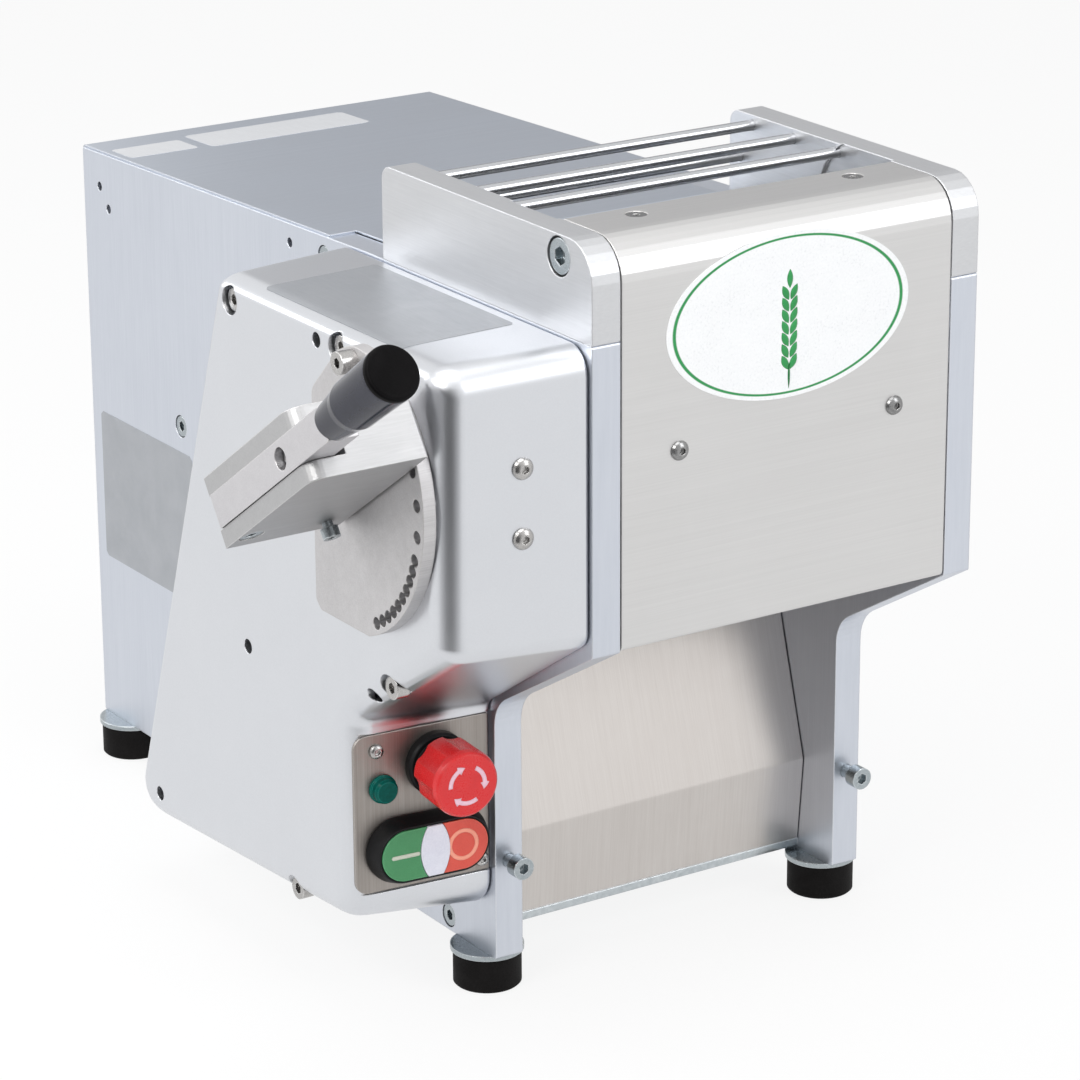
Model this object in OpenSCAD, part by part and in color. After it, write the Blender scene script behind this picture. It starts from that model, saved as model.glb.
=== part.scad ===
// Table-top electric dough sheeter: two aluminium side plates carry a pair of
// rollers, a cast gear cover with the thickness lever and the switch panel on
// the left, a worm gear motor behind, a rod guard on top and an exit chute.
// Working axes: X runs along the rollers from the outer face of the left plate,
// Y runs back from the front edge of the plates, Z is up from the table.

/* [Rollers] */
// Length of the roller faces
roll_len = 216; // [180:1:260]
// Radius of both rollers
roll_r = 30; // [26:0.5:31]
// Space between a roller face and the side plate
roll_end_gap = 3; // [2.6:0.1:5]
// Widest sheet, lever at rest
gap_open = 6.43; // [5:0.01:8]
// Offset of the front roller from the lever axis
throw_r = 4; // [3:0.1:4.5]
// Radius of the offset middle part of the axle
axle_r = 13.5; // [13:0.1:14.5]
// Radius of the axle ends
axle_end_r = 9; // [7:0.1:9.4]
// Running clearance on a radius
run_c = 0.06; // [0.03:0.01:0.1]

/* [Side plates] */
// Thickness of the side plates and guard plates
plate_t = 18; // [14:0.5:24]
// Front to back length of the side plates
plate_len = 576; // [540:1:640]
// Height of the top edge of the side plates
plate_top = 414; // [408:1:440]
// Fall of the top edge towards the rear
rear_drop = 10; // [0:0.5:16]
// Height of the lower edge of the side plates
plate_low = 24; // [20:1:30]
// Height of the nose above the legs
nose_z = 239; // [228:1:250]
// Distance of the leg behind the nose
leg_y = 99; // [85:1:110]
// Slope of the edge under the nose
nose_slope = 30.5; // [24:0.5:34]
// Fillet between nose and leg
leg_fillet = 24; // [10:1:30]
// Radius of the bearing seats
bearing_r = 21; // [19:0.5:24]
// Width of the bearings
bearing_w = 12; // [8:1:14]

/* [Axes] */
// Lever axis, from the front
lever_y = 100; // [96:0.5:106]
// Lever axis, from the table
lever_z = 329.7; // [322:0.1:336]

/* [Gears] */
// Module of all gears
gear_m = 4; // [3.9:0.05:4.1]
// Teeth on the roller gears and the drive gear
teeth_roll = 15; // [15:1:15]
// Teeth on the idler
teeth_idler = 18; // [16:1:20]
// Tooth height above the pitch circle, in modules
tooth_add = 1.13; // [1.0:0.01:1.15]
// Slack between the teeth at the pitch circle
backlash = 1.2; // [0.8:0.1:1.8]
// Face width of the gears
gear_w = 18; // [12:1:24]
// Space between side plate and gears
gear_gap = 12; // [8:1:16]
// Direction from the rear roller to the idler
idler_dir = -50; // [-60:1:-40]
// Direction from the idler to the drive gear
drive_dir = -62; // [-70:1:-50]

/* [Gear cover] */
// Depth of the cast gear cover
cover_d = 88; // [80:1:110]
// Wall of the casting
cover_wall = 6; // [4:0.5:8]
// How far the walls lean in over that depth
cover_draft = 8; // [4:0.5:9]
// Radius of its outer edges
cover_edge_r = 15; // [8:1:16]
// Space between the casting and the front edge of the plates
cover_inset = 2; // [1:0.5:6]
// Lower front face of the casting, at the plate
panel_y = 104; // [100:1:108]

/* [Index plate and lever] */
// Radius of the index plate
index_r = 84.5; // [80:0.5:88]
// Thickness of the index plate
index_t = 8; // [6:0.5:10]
// Radius of the circle of index holes
index_hole_r = 78.4; // [72:0.1:80]
// Radius of an index hole
hole_r = 3.6; // [3:0.1:4]
// Lever angle above level at rest
lever_up = 34.5; // [30:0.5:40]
// Space between index plate and lever block
lever_gap = 2.5; // [1:0.1:4]
// Height of the lever block, outwards
fork_h = 70; // [60:1:80]
// Width of the lever block
fork_w = 40; // [36:0.5:44]
// Length of the lever block ahead of the axis
fork_len = 101; // [94:1:110]
// Length of the lever block behind the axis
fork_back = 12; // [11:0.5:16]
// Width of the slot for the lock bar
slot_w = 19.5; // [16:0.1:22]
// Depth of that slot
slot_d = 24; // [22:0.5:30]
// Side clearance of the lock bar in its slot
bar_c = 0.35; // [0.3:0.05:0.6]
// Thickness of the lock bar
bar_t = 18; // [14:0.5:18]
// Reach of the lock bar from the lever axis
bar_len = 132; // [125:1:145]
// Length of the grip
grip_len = 70; // [60:1:90]
// Radius of the grip at its end
grip_r = 15; // [12:0.5:17]
// Radius of the index pin
pin_r = 3.5; // [3:0.1:3.5]

/* [Guard] */
// Height of the guard plates above the side plates
guard_h = 54.8; // [48:0.1:70]
// Length of the guard plates
guard_len = 211; // [205:1:220]
// Front top radius of the guard plates
guard_r = 22; // [12:1:26]
// Radius of the guard rods
rod_r = 3.25; // [2.5:0.05:4]
// Spacing of the guard rods
rod_step = 40; // [36:1:42]
// Depth of the rod ends in the guard plates
rod_seat = 10; // [6:1:12]

/* [Sheet metal] */
// Thickness of the sheet covers
sheet_t = 1.5; // [1:0.1:2]
// Space between the front cover and the plates
cover_c = 1; // [0.5:0.1:2]
// Depth of the top flange of the front cover
flange_y = 55; // [54:1:60]
// Space between the guard plates and the front edge of the top cover
table_gap = 10; // [8:1:15]
// Length of the narrow front part of the top cover
lip_len = 51; // [41:1:69]

/* [Feet] */
// Height of the rubber feet
foot_h = 21; // [17:0.5:26]
// Radius of the rubber feet
foot_r = 20; // [16:0.5:21]
// Radius of the foot washers
washer_r = 21.5; // [18:0.5:22]
// Centre of the front feet, from the front
foot_front_y = 123; // [121:1:130]
// Centre of the rear feet, from the rear edge
foot_back = 21; // [19:1:30]

/* [Switch panel] */
// Width of the switch panel
panel_w = 84; // [82:1:84]
// Height of the switch panel
panel_h = 95; // [94:1:100]
// Lower edge of the switch panel
panel_z = 80; // [78:1:84]
// Thickness of the switch panel
panel_t = 2; // [1.5:0.1:3]
// Radius of the emergency stop head
stop_r = 19.5; // [17:0.5:20]
// Travel of the emergency stop
stop_travel = 5; // [3:0.5:5]
// Length of the double push button face
twin_len = 66; // [62:1:68]
// Height of the double push button face
twin_h = 30; // [28:1:32]
// Travel of the push buttons
twin_travel = 2.5; // [1.5:0.1:2.7]

/* [Motor] */
// Radius of the motor
motor_r = 56; // [48:1:58]
// Length of the motor
motor_len = 200; // [150:1:220]
// Distance between worm and output shaft
worm_drop = 50; // [46:1:56]
// Radius of the gearbox output shaft
out_r = 10; // [8:0.5:11]

/* [Hidden] */
$fn = 48;
eps = 0.01;

inner_w = roll_len + 2 * roll_end_gap;
wide = inner_w + 2 * plate_t;
x_in = plate_t;
x_far = plate_t + inner_w;
guard_top = plate_top + guard_h;
plate_end = plate_len;

// The lever swings from its highest hole down to its lowest one
wide_holes = [lever_up, 19.7, 6.2, -6.6];
fine_first = -16.9;
fine_step = 5.17;
fine_count = 10;
hole_angles = concat(wide_holes, [for (i = [0:fine_count - 1]) fine_first - i * fine_step]);
lever_sweep = lever_up - hole_angles[len(hole_angles) - 1];
throw_dir = -90 - lever_sweep / 2;
throw_y = throw_r * cos(throw_dir);
throw_z = throw_r * sin(throw_dir);
front_y = lever_y + throw_y;
roll_z = lever_z + throw_z;
rear_y = front_y + 2 * roll_r + gap_open;
gap_closed = gap_open + 2 * throw_y;

// Gear train
mesh_c = 0.2;
pitch_roll = gear_m * teeth_roll / 2;
pitch_idler = gear_m * teeth_idler / 2;
tip_roll = pitch_roll + tooth_add * gear_m + 0.1;
closed_dist = 2 * roll_r + gap_closed;
root_roll = closed_dist - tip_roll - 0.4;
idler_dist = pitch_roll + pitch_idler + mesh_c;
idler_y = rear_y + idler_dist * cos(idler_dir);
idler_z = roll_z + idler_dist * sin(idler_dir);
drive_y = idler_y + idler_dist * cos(drive_dir);
drive_z = idler_z + idler_dist * sin(drive_dir);
gear_x = -gear_gap - gear_w;
pitch_a = 360 / teeth_roll;
pitch_b = 360 / teeth_idler;
idler_phase = idler_dir + 180 + pitch_b * (0.5 + idler_dir / pitch_a);
drive_phase = drive_dir + 180 + pitch_a * (0.5 - (idler_phase - drive_dir) / pitch_b);

// Lever stack, counted outwards from the side plate
index_x = -cover_d - index_t;
fork_x = index_x - lever_gap;
fork_out = fork_x - fork_h;
slot_x = fork_out + slot_d;
bar_x = fork_out - 1;
bar_mid = bar_x + bar_t / 2;
grip_off = 3.5;
pivot_u = 5.4;
pivot_r = 4;
bar_w = slot_w - 2 * bar_c;
bar_back = 8;
axle_out = 42;
lock_angle = 7.8;

// Guard rods
rod_back = 22;
rod_y = guard_len - rod_back - 2 * rod_step;
rod_z = guard_top - 6;
low_rod = [guard_len - 9.5, guard_top - 27];
guard_screw = [31.5, guard_top - 12.4];
guard_bore_r = 11.2;
relief_r = 45;
relief_back = 48.5;

// The top edge falls from behind the guard to the rear
table_y = guard_len + table_gap;
fall_y = table_y + 10;
step_y = table_y + lip_len;
function top_z(y) = plate_top - rear_drop * max(0, y - fall_y) / (plate_end - fall_y);

// Panel plane: it leans with the draft of the casting
lean = atan(cover_draft / cover_d);
panel_x = -1.5 - panel_w;
stop_x = -35;
stop_z = panel_z + 72;
lamp_x = -68;
lamp_z = panel_z + 62;
twin_x = -41.5;
twin_z = panel_z + 24;
stem_off = 20;
stop_stem_r = 6;
collar_d = 6.5;
bezel_d = 12;

// Tie bars: [y, z]
ties = [[277, 400], [458, 250], [150, plate_low + 9], [24, nose_z + 16]];
tie_r = 7;
side_holes = [[555, 383], [544, 370.5], [316.5, 400], [305, 390]];
foot_x = plate_t / 2;
foot_ys = [foot_front_y, plate_end - foot_back];
washer_t = plate_low - foot_h;
leg_screw_z = 84;

// Middle of the whole machine, which stands at the origin
cap_t = 5;
x_min = bar_mid - grip_off - grip_r;
x_max = wide + cap_t + 3;
grip_end = bar_len + grip_len + 4;
y_min = lever_y - grip_end * cos(lever_up) - grip_r * sin(lever_up);
gland_len = 16;
y_max = plate_end + gland_len;
mid = [(x_min + x_max) / 2, (y_min + y_max) / 2];

// ---------- helpers ----------

module placed() translate([-mid[0], -mid[1], 0]) children();

// A profile drawn in (y, z), extruded along X from x0
module yz(x0, t) translate([x0, 0, 0]) rotate([90, 0, 90]) linear_extrude(t) children();

// A round bar along X
module xbar(r, x0, x1, p) translate([x0, p[0], p[1]]) rotate([0, 90, 0]) cylinder(r = r, h = x1 - x0);

// A round bar along Y
module ybar(r, y0, y1, x, z) translate([x, y0, z]) rotate([-90, 0, 0]) cylinder(r = r, h = y1 - y0);

// A round bar along Z
module zbar(r, z0, z1, x, y) translate([x, y, z0]) cylinder(r = r, h = z1 - z0);

function unit(v) = v / norm(v);
function turn(v, a) = [v[0] * cos(a) - v[1] * sin(a), v[0] * sin(a) + v[1] * cos(a)];
function cross2(a, b) = a[0] * b[1] - a[1] * b[0];

// Corner of a path rounded to radius r with n steps
function corner(p, a, b, r, n) =
    let (u = unit(a - p), w = unit(b - p), half = acos(u * w) / 2, d = r / tan(half),
        s = sign(cross2(p - a, b - p)), c = p + unit(u + w) * (r / sin(half)),
        first = p + u * d, sweep = s * (180 - 2 * half))
    [for (i = [0:n]) c + turn(first - c, sweep * i / n)];

// Closed outline from corners [y, z, radius]
function outline(v, n = 6) = [for (i = [0:len(v) - 1])
    let (m = len(v), p = [v[i][0], v[i][1]], q = v[(i + m - 1) % m], w = v[(i + 1) % m])
    each (v[i][2] > 0 ? corner(p, [q[0], q[1]], [w[0], w[1]], v[i][2], n) : [p])];

// Open path from corners [y, z, radius]
function path(v, n = 6) = [for (i = [0:len(v) - 1])
    let (p = [v[i][0], v[i][1]])
    each (i > 0 && i < len(v) - 1 && v[i][2] > 0
        ? corner(p, [v[i - 1][0], v[i - 1][1]], [v[i + 1][0], v[i + 1][1]], v[i][2], n) : [p])];

// Offset of an open path to its left by t
function left_of(p, t) = [for (i = [0:len(p) - 1])
    let (a = unit(p[min(i + 1, len(p) - 1)] - p[min(i, len(p) - 2)]),
        b = unit(p[max(i, 1)] - p[max(i - 1, 0)]), m = unit(turn(a, 90) + turn(b, 90)))
    p[i] + m * t / (m * turn(a, 90))];

// Bent sheet: a path thickened by t to its left
module bent(v, t, n = 6) {
    p = path(v, n);
    q = left_of(p, t);
    polygon(concat(p, [for (i = [len(q) - 1:-1:0]) q[i]]));
}

// Corners moved in with their two edges: each edge by d and by its own shares of the rounding, v[3],
// and of the lean, v[4]. Outlines run anticlockwise
function inset(v, d, lean_d, rounding, dr) = [for (i = [0:len(v) - 1])
    let (m = len(v), p = [v[i][0], v[i][1]], q = v[(i + m - 1) % m], w = v[(i + 1) % m],
        a = unit(p - [q[0], q[1]]), b = unit([w[0], w[1]] - p), na = turn(a, 90), nb = turn(b, 90),
        da = d + q[3] * rounding + q[4] * lean_d,
        db = d + v[i][3] * rounding + v[i][4] * lean_d, k = na * nb,
        moved = p + (na * (da - db * k) + nb * (db - da * k)) / (1 - k * k),
        r = cross2(a, b) > 0 ? max(2, v[i][2] - dr) : v[i][2] + dr)
    [moved[0], moved[1], r]];

// Solid through a stack of outlines with equal point counts, laid along -X. Its ends are fans of
// triangles round the point eye, from which the whole outline can be seen
module loft(rings, xs, eye) {
    n = len(rings[0]);
    m = len(rings);
    pts = [for (k = [0:m - 1]) for (p = rings[k]) [xs[k], p[0], p[1]]];
    sides = [for (k = [0:m - 2]) for (i = [0:n - 1])
        let (j = (i + 1) % n, a = k * n)
        each [[a + i, a + j, a + n + j], [a + i, a + n + j, a + n + i]]];
    near = [for (i = [0:n - 1]) [(i + 1) % n, i, m * n]];
    far = [for (i = [0:n - 1]) let (a = (m - 1) * n) [a + i, a + (i + 1) % n, m * n + 1]];
    eyes = [[xs[0], eye[0], eye[1]], [xs[m - 1], eye[0], eye[1]]];
    polyhedron(concat(pts, eyes), concat(near, sides, far), convexity = 8);
}

// Involute gear outline with z teeth, tip radius ra, root radius rf, first tooth at angle ph
function inv(r, rb) = r <= rb ? 0 : sqrt(r * r / rb / rb - 1) * 180 / PI - acos(rb / r);
function gear_pts(z, ra, rf, ph) =
    let (rp = gear_m * z / 2, rb = rp * cos(20), n = 4,
        half = (PI * gear_m / 2 - backlash / 2) / rp / 2 * 180 / PI,
        r0 = max(rf, rb), rs = [for (i = [0:n]) r0 + (ra - r0) * i / n])
    [for (k = [0:z - 1]) let (c = ph + k * 360 / z, at = half + inv(rp, rb))
        each concat(
            [rf * [cos(c - at - 0.6), sin(c - at - 0.6)]],
            [for (r = rs) r * [cos(c - at + inv(r, rb)), sin(c - at + inv(r, rb))]],
            [for (i = [n:-1:0]) rs[i] * [cos(c + at - inv(rs[i], rb)), sin(c + at - inv(rs[i], rb))]],
            [rf * [cos(c + at + 0.6), sin(c + at + 0.6)]])];

module gear(z, ra, rf, ph, p, bore) {
    difference() {
        translate([gear_x, p[0], p[1]]) rotate([90, 0, 90]) linear_extrude(gear_w)
            polygon(gear_pts(z, ra, rf, ph));
        xbar(bore, gear_x - 1, gear_x + gear_w + 1, p);
    }
}

// Socket head screw at the origin, head outwards along -X, shank along +X
module cap_screw(head_r, head_h, shank_r, shank_l, hex) {
    difference() {
        union() {
            translate([-head_h, 0, 0]) rotate([0, 90, 0]) cylinder(r = head_r, h = head_h);
            translate([-eps, 0, 0]) rotate([0, 90, 0]) cylinder(r = shank_r, h = shank_l);
        }
        translate([-head_h - 1, 0, 0]) rotate([0, 90, 0]) cylinder(r = hex, h = head_h * 0.6 + 1, $fn = 6);
    }
}

// Round head screw laid like the cap screw
module button_screw(head_r, head_h, shank_r, shank_l, hex) difference() {
    rotate([0, -90, 0]) rotate_extrude() polygon([[0, -shank_l], [shank_r, -shank_l], [shank_r, 0], [head_r, 0],
        [head_r, 0.2 * head_h], [0.86 * head_r, 0.6 * head_h], [0.6 * head_r, 0.9 * head_h],
        [0.45 * head_r, head_h], [0, head_h]]);
    translate([-head_h - 1, 0, 0]) rotate([0, 90, 0]) cylinder(r = hex, h = head_h * 0.7 + 1, $fn = 6);
}

// Flat head screw, head flush with z = 0
module flat_profile(head_r, shank_r, l, c) polygon([[0, -l], [shank_r, -l], [shank_r, shank_r - head_r - c],
    [head_r, -c], [head_r, 0], [0, 0]]);
module flat_screw(head_r, shank_r, l, hex) difference() {
    rotate_extrude() flat_profile(head_r, shank_r, l, 0.3);
    translate([0, 0, -2.2]) cylinder(r = hex, h = 4, $fn = 6);
}

// Things placed in the leaning planes of the front face and the switch panel, -Y outwards
module on_front() translate([0, cover_inset, 0]) rotate([0, 0, -lean]) children();
module on_panel() translate([0, panel_y, 0]) rotate([0, 0, -lean]) children();

// Things placed in the lever's own axes: u along it, v across it, w outwards
module on_lever() translate([0, lever_y, lever_z]) rotate([lever_up * -1, 0, 0])
    mirror([0, 1, 0]) children();

// ---------- side plates ----------

nose_in = leg_y * tan(nose_slope);
plate_outline = [[0, plate_top, 1.5], [0, nose_z, 1.5], [leg_y, nose_z - nose_in, leg_fillet],
    [leg_y, plate_low, 1.5], [plate_end, plate_low, 1.5],
    [plate_end, plate_top - rear_drop, 1.5], [fall_y, plate_top, 0]];

module side_plate(x0, outer) {
    face = outer > 0 ? x0 + plate_t : x0;
    cut = outer > 0 ? face - 8.5 : face - 1;
    difference() {
        yz(x0, plate_t) polygon(outline(plate_outline));
        for (p = ties) {
            xbar(4.3, x0 - 1, x0 + plate_t + 1, p);
            xbar(7.2, cut, cut + 9.5, p);
        }
        for (p = side_holes) xbar(3, outer > 0 ? face - 12 : face - 1, outer > 0 ? face + 1 : face + 12, p);
        xbar(bearing_r + 0.02, x0 - 1, x0 + plate_t + 1, [rear_y, roll_z]);
        for (y = foot_ys) zbar(4.05, plate_low - 1, plate_low + 22, x0 + plate_t / 2, y);
        ybar(4.05, leg_y - 1, leg_y + 14, x0 + plate_t / 2, leg_screw_z);
        children();
    }
}

module side_plate_left() color([0.84, 0.85, 0.87]) side_plate(0, -1) {
    // Clearance for the orbiting hub of the front roller
    xbar(hub_r + throw_r + 1.5, -1, plate_t + 1, [lever_y, lever_z]);
    xbar(4.05, -1, plate_t - 4, [idler_y, idler_z]);
    xbar(out_r + 4, -1, plate_t + 1, [drive_y, drive_z]);
    for (p = cover_screws) xbar(4, -1, 14, p);
}

module side_plate_right() color([0.84, 0.85, 0.87]) side_plate(x_far, 1) {
    xbar(bush_r + 0.02, x_far - 1, wide + 1, [lever_y, lever_z]);
    for (c = caps) for (a = cap_angles)
        xbar(2.05, wide - 10, wide + 1, [c[0] + cap_screw_r * cos(a), c[1] + cap_screw_r * sin(a)]);
}

module tie_bars() color([0.7, 0.71, 0.73]) for (p = ties) difference() {
    xbar(tie_r, x_in, x_far, p);
    xbar(4.05, x_in - 1, x_in + 22, p);
    xbar(4.05, x_far - 22, x_far + 1, p);
}

module tie_screws() color([0.72, 0.76, 0.8]) {
    for (p = ties) {
        translate([8.5, p[0], p[1]]) cap_screw(6.5, 8, 4, 27, 3.4);
        translate([wide - 8.5, p[0], p[1]]) mirror([1, 0, 0]) cap_screw(6.5, 8, 4, 27, 3.4);
    }
    // The two long screws that stand out of the leg fronts
    for (x = [plate_t / 2, wide - plate_t / 2]) translate([x, leg_y - 8, leg_screw_z])
        rotate([0, 0, 90]) cap_screw(6.6, 8, 4, 20, 3.4);
}

// ---------- gear cover ----------

rear_lean = 0.3375;
cover_low = 46;
cover_rear = 246;
cover_top = plate_top - 0.5;
under_y = panel_y - 1;
under_z = nose_z + 8;
ramp_z = 181;
// Corners [y, z, radius, share of the outer rounding and of the lean that the next edge takes]
cover_base = [[cover_inset, cover_top, 16, 1, 1], [cover_inset, under_z, 12, 1, 1],
    [under_y, ramp_z, 10, 1, 1], [under_y, cover_low + 9, 20, 0.7, 1],
    [cover_rear + rear_lean * (cover_top - cover_low) + 12, cover_low - 8, 24, 0.6, 1],
    [cover_rear + 10, cover_top, 16, 0.5, 0.25]];
cover_eye = [lever_y + 100, lever_z - 30];
function lean_in(x) = -cover_draft * x / cover_d;
// Sections from the plate outwards: rounded rim, leaning wall, rounded outer edge
rim_r = 3;
rim_xs = [0, -0.9, -rim_r];
rim_in = [rim_r, 0.9, 0];
edge_steps = 6;
edge_xs = [for (i = [0:edge_steps]) -cover_d + cover_edge_r * (1 - sin(90 * i / edge_steps))];
edge_in = [for (i = [0:edge_steps]) cover_edge_r * (1 - cos(90 * i / edge_steps))];
cover_rings = concat([for (k = [0:2]) outline(inset(cover_base, rim_in[k], lean_in(rim_xs[k]), 0, 0), 8)],
    [for (i = [0:edge_steps])
        outline(inset(cover_base, 0, lean_in(edge_xs[i]), edge_in[i], edge_in[i]), 8)]);
hollow_xs = [1, -cover_d + cover_wall];
hollow_rings = [for (x = hollow_xs) outline(inset(cover_base, cover_wall, lean_in(x), 0, cover_wall))];
// Screws that hold the casting: [y, z]
cover_screws = [[232, 399], [115.5, 400], [69, 218.5], [177, 61]];
cover_pips = [[136.5, 399.5], [87.5, 208.5], [222, 196], [336, 66]];
front_screws = [[-40.5, 353], [-40.5, 314]];
screw_bore_r = 8.4;
bush_r = 13;
hub_r = 19;

module gear_cover() color([0.86, 0.87, 0.89]) {
    difference() {
        loft(cover_rings, concat(rim_xs, edge_xs), cover_eye);
        // The hollow, less the posts, the hub and the small bosses that stand in it
        difference() {
            loft(hollow_rings, hollow_xs, cover_eye);
            for (p = cover_screws) xbar(screw_bore_r + 3.5, -cover_d, 2, p);
            xbar(20, -cover_d, -cover_d + 14, [lever_y, lever_z]);
            on_front() for (p = front_screws) ybar(6, 0, 20, p[0], p[1]);
            on_panel() for (p = panel_holes) ybar(6, 0, 24, p[0], p[1]);
        }
        for (p = cover_screws) {
            xbar(4.4, -cover_d - 1, 1, p);
            xbar(screw_bore_r, -cover_d - 1, -cover_d + 11, p);
        }
        for (p = cover_pips) xbar(4.4, -cover_d - 1, -cover_d + 12, p);
        on_front() for (p = front_screws) ybar(3.05, -3, 15, p[0], p[1]);
        xbar(bush_r + 0.02, -cover_d - 1, -cover_d + 15, [lever_y, lever_z]);
        for (p = index_fix) xbar(2.52, -cover_d - 1, -cover_d + 7, p);
        // Pocket for the switch panel and the opening behind it
        on_panel() {
            translate([panel_x - 0.8, -8, panel_z - 0.8])
                cube([panel_w + 12, 8 + panel_t - 0.6, panel_h + 1.6]);
            difference() {
                translate([panel_x + 7, -8, panel_z + 8]) cube([panel_w - 14, 34, panel_h - 16]);
                for (p = panel_holes) ybar(6, -9, 27, p[0], p[1]);
            }
            for (p = panel_holes) ybar(2.05, -9, 12, p[0], p[1]);
        }
    }
}

module gear_cover_screws() color([0.78, 0.8, 0.83]) {
    for (p = cover_screws) translate([-cover_d + 11, p[0], p[1]])
        cap_screw(6.5, 8, 3.96, cover_d + 1, 3.4);
    on_front() for (p = front_screws) translate([p[0], -0.05, p[1]])
        rotate([0, 0, 90]) button_screw(6.2, 3.4, 3, 13, 2.4);
}

// ---------- index plate ----------

index_low = 80;
index_back = 29;
stop_screw = [lever_y - 15.5, lever_z + 72.5];
// Two flat head screws under the lever block
index_fix = [for (s = [-1, 1]) [lever_y - 42 * cos(lever_up + s * 14), lever_z + 42 * sin(lever_up + s * 14)]];

module index_plate() color([0.78, 0.77, 0.75]) difference() {
    translate([index_x, lever_y, lever_z]) rotate([90, 0, 90]) intersection() {
        linear_extrude(index_t) circle(r = index_r, $fn = 96);
        linear_extrude(index_t) polygon(outline([[-index_r - 1, -index_low, 0], [index_back - 5, -index_low, 3],
            [index_back, 5 - index_low, 3], [index_back, 46, 9], [1, 74, 20], [-14, 81, 24],
            [-50, 78, 0], [-index_r - 1, index_r + 1, 0]]));
    }
    for (a = hole_angles) xbar(hole_r, index_x - 1, index_x + index_t + 1,
        [lever_y - index_hole_r * cos(a), lever_z + index_hole_r * sin(a)]);
    xbar(bush_r + 0.02, index_x - 1, index_x + index_t + 1, [lever_y, lever_z]);
    xbar(3.02, index_x - 1, index_x + index_t + 1, stop_screw);
    for (p = index_fix) translate([index_x, p[0], p[1]]) rotate([0, -90, 0])
        rotate_extrude() flat_profile(5.05, 2.7, index_t + 1, 0.3);
}

module index_plate_screws() color([0.62, 0.72, 0.76]) {
    translate([index_x, stop_screw[0], stop_screw[1]]) cap_screw(6.4, 10, 3, index_t - 0.5, 3.2);
    for (p = index_fix) translate([index_x, p[0], p[1]]) rotate([0, -90, 0]) flat_screw(5, 2.5, index_t + 5, 2);
}

// ---------- guard ----------

guard_outline = [[0, plate_top, 1], [guard_len, plate_top, 1], [guard_len, guard_top, 8],
    [0, guard_top, guard_r]];

module guard_plate(x0, inner) difference() {
    yz(x0, plate_t) polygon(outline(guard_outline));
    for (p = concat([for (i = [0:2]) [rod_y + i * rod_step, rod_z]], [low_rod]))
        xbar(rod_r + 0.02, inner > 0 ? x0 + plate_t - rod_seat : x0 - 1,
            inner > 0 ? x0 + plate_t + 1 : x0 + rod_seat, p);
    // Seat of the crossbar screw and the round relief in the inner face
    xbar(6.2, x0 - 1, x0 + plate_t + 1, guard_screw);
    xbar(guard_bore_r, inner > 0 ? x0 - 1 : x0 + plate_t - 10, inner > 0 ? x0 + 10 : x0 + plate_t + 1,
        guard_screw);
    xbar(relief_r, inner > 0 ? x0 + plate_t - 2 : x0 - 1, inner > 0 ? x0 + plate_t + 1 : x0 + 2,
        [guard_screw[0] + relief_back, plate_top + 16]);
}

module guard_plate_left() color([0.85, 0.86, 0.88]) guard_plate(0, 1);

module guard_plate_right() color([0.85, 0.86, 0.88]) guard_plate(x_far, -1);

module guard_rods() color([0.8, 0.82, 0.85])
    for (p = concat([for (i = [0:2]) [rod_y + i * rod_step, rod_z]], [low_rod]))
        xbar(rod_r, x_in - rod_seat, x_far + rod_seat, p);

bar_top = guard_top - sheet_t;

module guard_screws() color([0.7, 0.75, 0.8]) {
    translate([9.8, guard_screw[0], guard_screw[1]]) cap_screw(9.9, 9, 6, 26, 5.4);
    translate([wide - 9.8, guard_screw[0], guard_screw[1]]) mirror([1, 0, 0]) cap_screw(9.9, 9, 6, 26, 5.4);
}

// ---------- sheet metal ----------

top_screw_y = 41.5;
screw_off = 72.5;
front_screw_z = 347;
flat_r = 6;
flat_sink = 0.2;
flat_c = 0.1;
bar_y = guard_r + 1;
bar_h = 24;
bar_back_gap = 5;
top_screw_x = [wide / 2 - screw_off, wide / 2 + screw_off];
cover_path = [[14, nose_z, 0], [0, nose_z, 3], [0, guard_top, guard_r + 1], [flange_y, guard_top, 0]];

module front_cover() color([0.82, 0.81, 0.8]) difference() {
    yz(x_in + cover_c, inner_w - 2 * cover_c) bent([for (i = [3:-1:0]) cover_path[i]], sheet_t, 8);
    for (x = top_screw_x) {
        translate([x, top_screw_y, guard_top + eps]) rotate_extrude()
            flat_profile(flat_r + flat_sink + flat_c, 2.7, 6, 0.3);
        ybar(3.1, -1, sheet_t + 1, x, front_screw_z);
    }
}

module cover_crossbars() color([0.8, 0.81, 0.84]) {
    difference() {
        translate([x_in, bar_y, bar_top - bar_h])
            cube([inner_w, flange_y - bar_back_gap - bar_y, bar_h]);
        for (x = [x_in - 1, x_far - 20]) xbar(6.02, x, x + 21, guard_screw);
        for (x = top_screw_x) translate([x, top_screw_y, guard_top]) rotate_extrude()
            flat_profile(flat_r + flat_sink + flat_c, 2.52, 16, 0.3);
    }
    difference() {
        translate([x_in, sheet_t, front_screw_z - 18]) cube([inner_w, 14, 36]);
        for (x = top_screw_x) ybar(3.02, sheet_t - 1, sheet_t + 10, x, front_screw_z);
    }
}

module front_cover_screws() color([0.75, 0.77, 0.8]) for (x = top_screw_x) {
    translate([x, top_screw_y, guard_top - flat_sink]) flat_screw(flat_r, 2.5, 14, 2);
    translate([x, 0, front_screw_z]) rotate([0, 0, 90]) button_screw(5.6, 3, 3, 10, 2.2);
}

table_lip = 22;
cover_end = plate_end;

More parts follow.
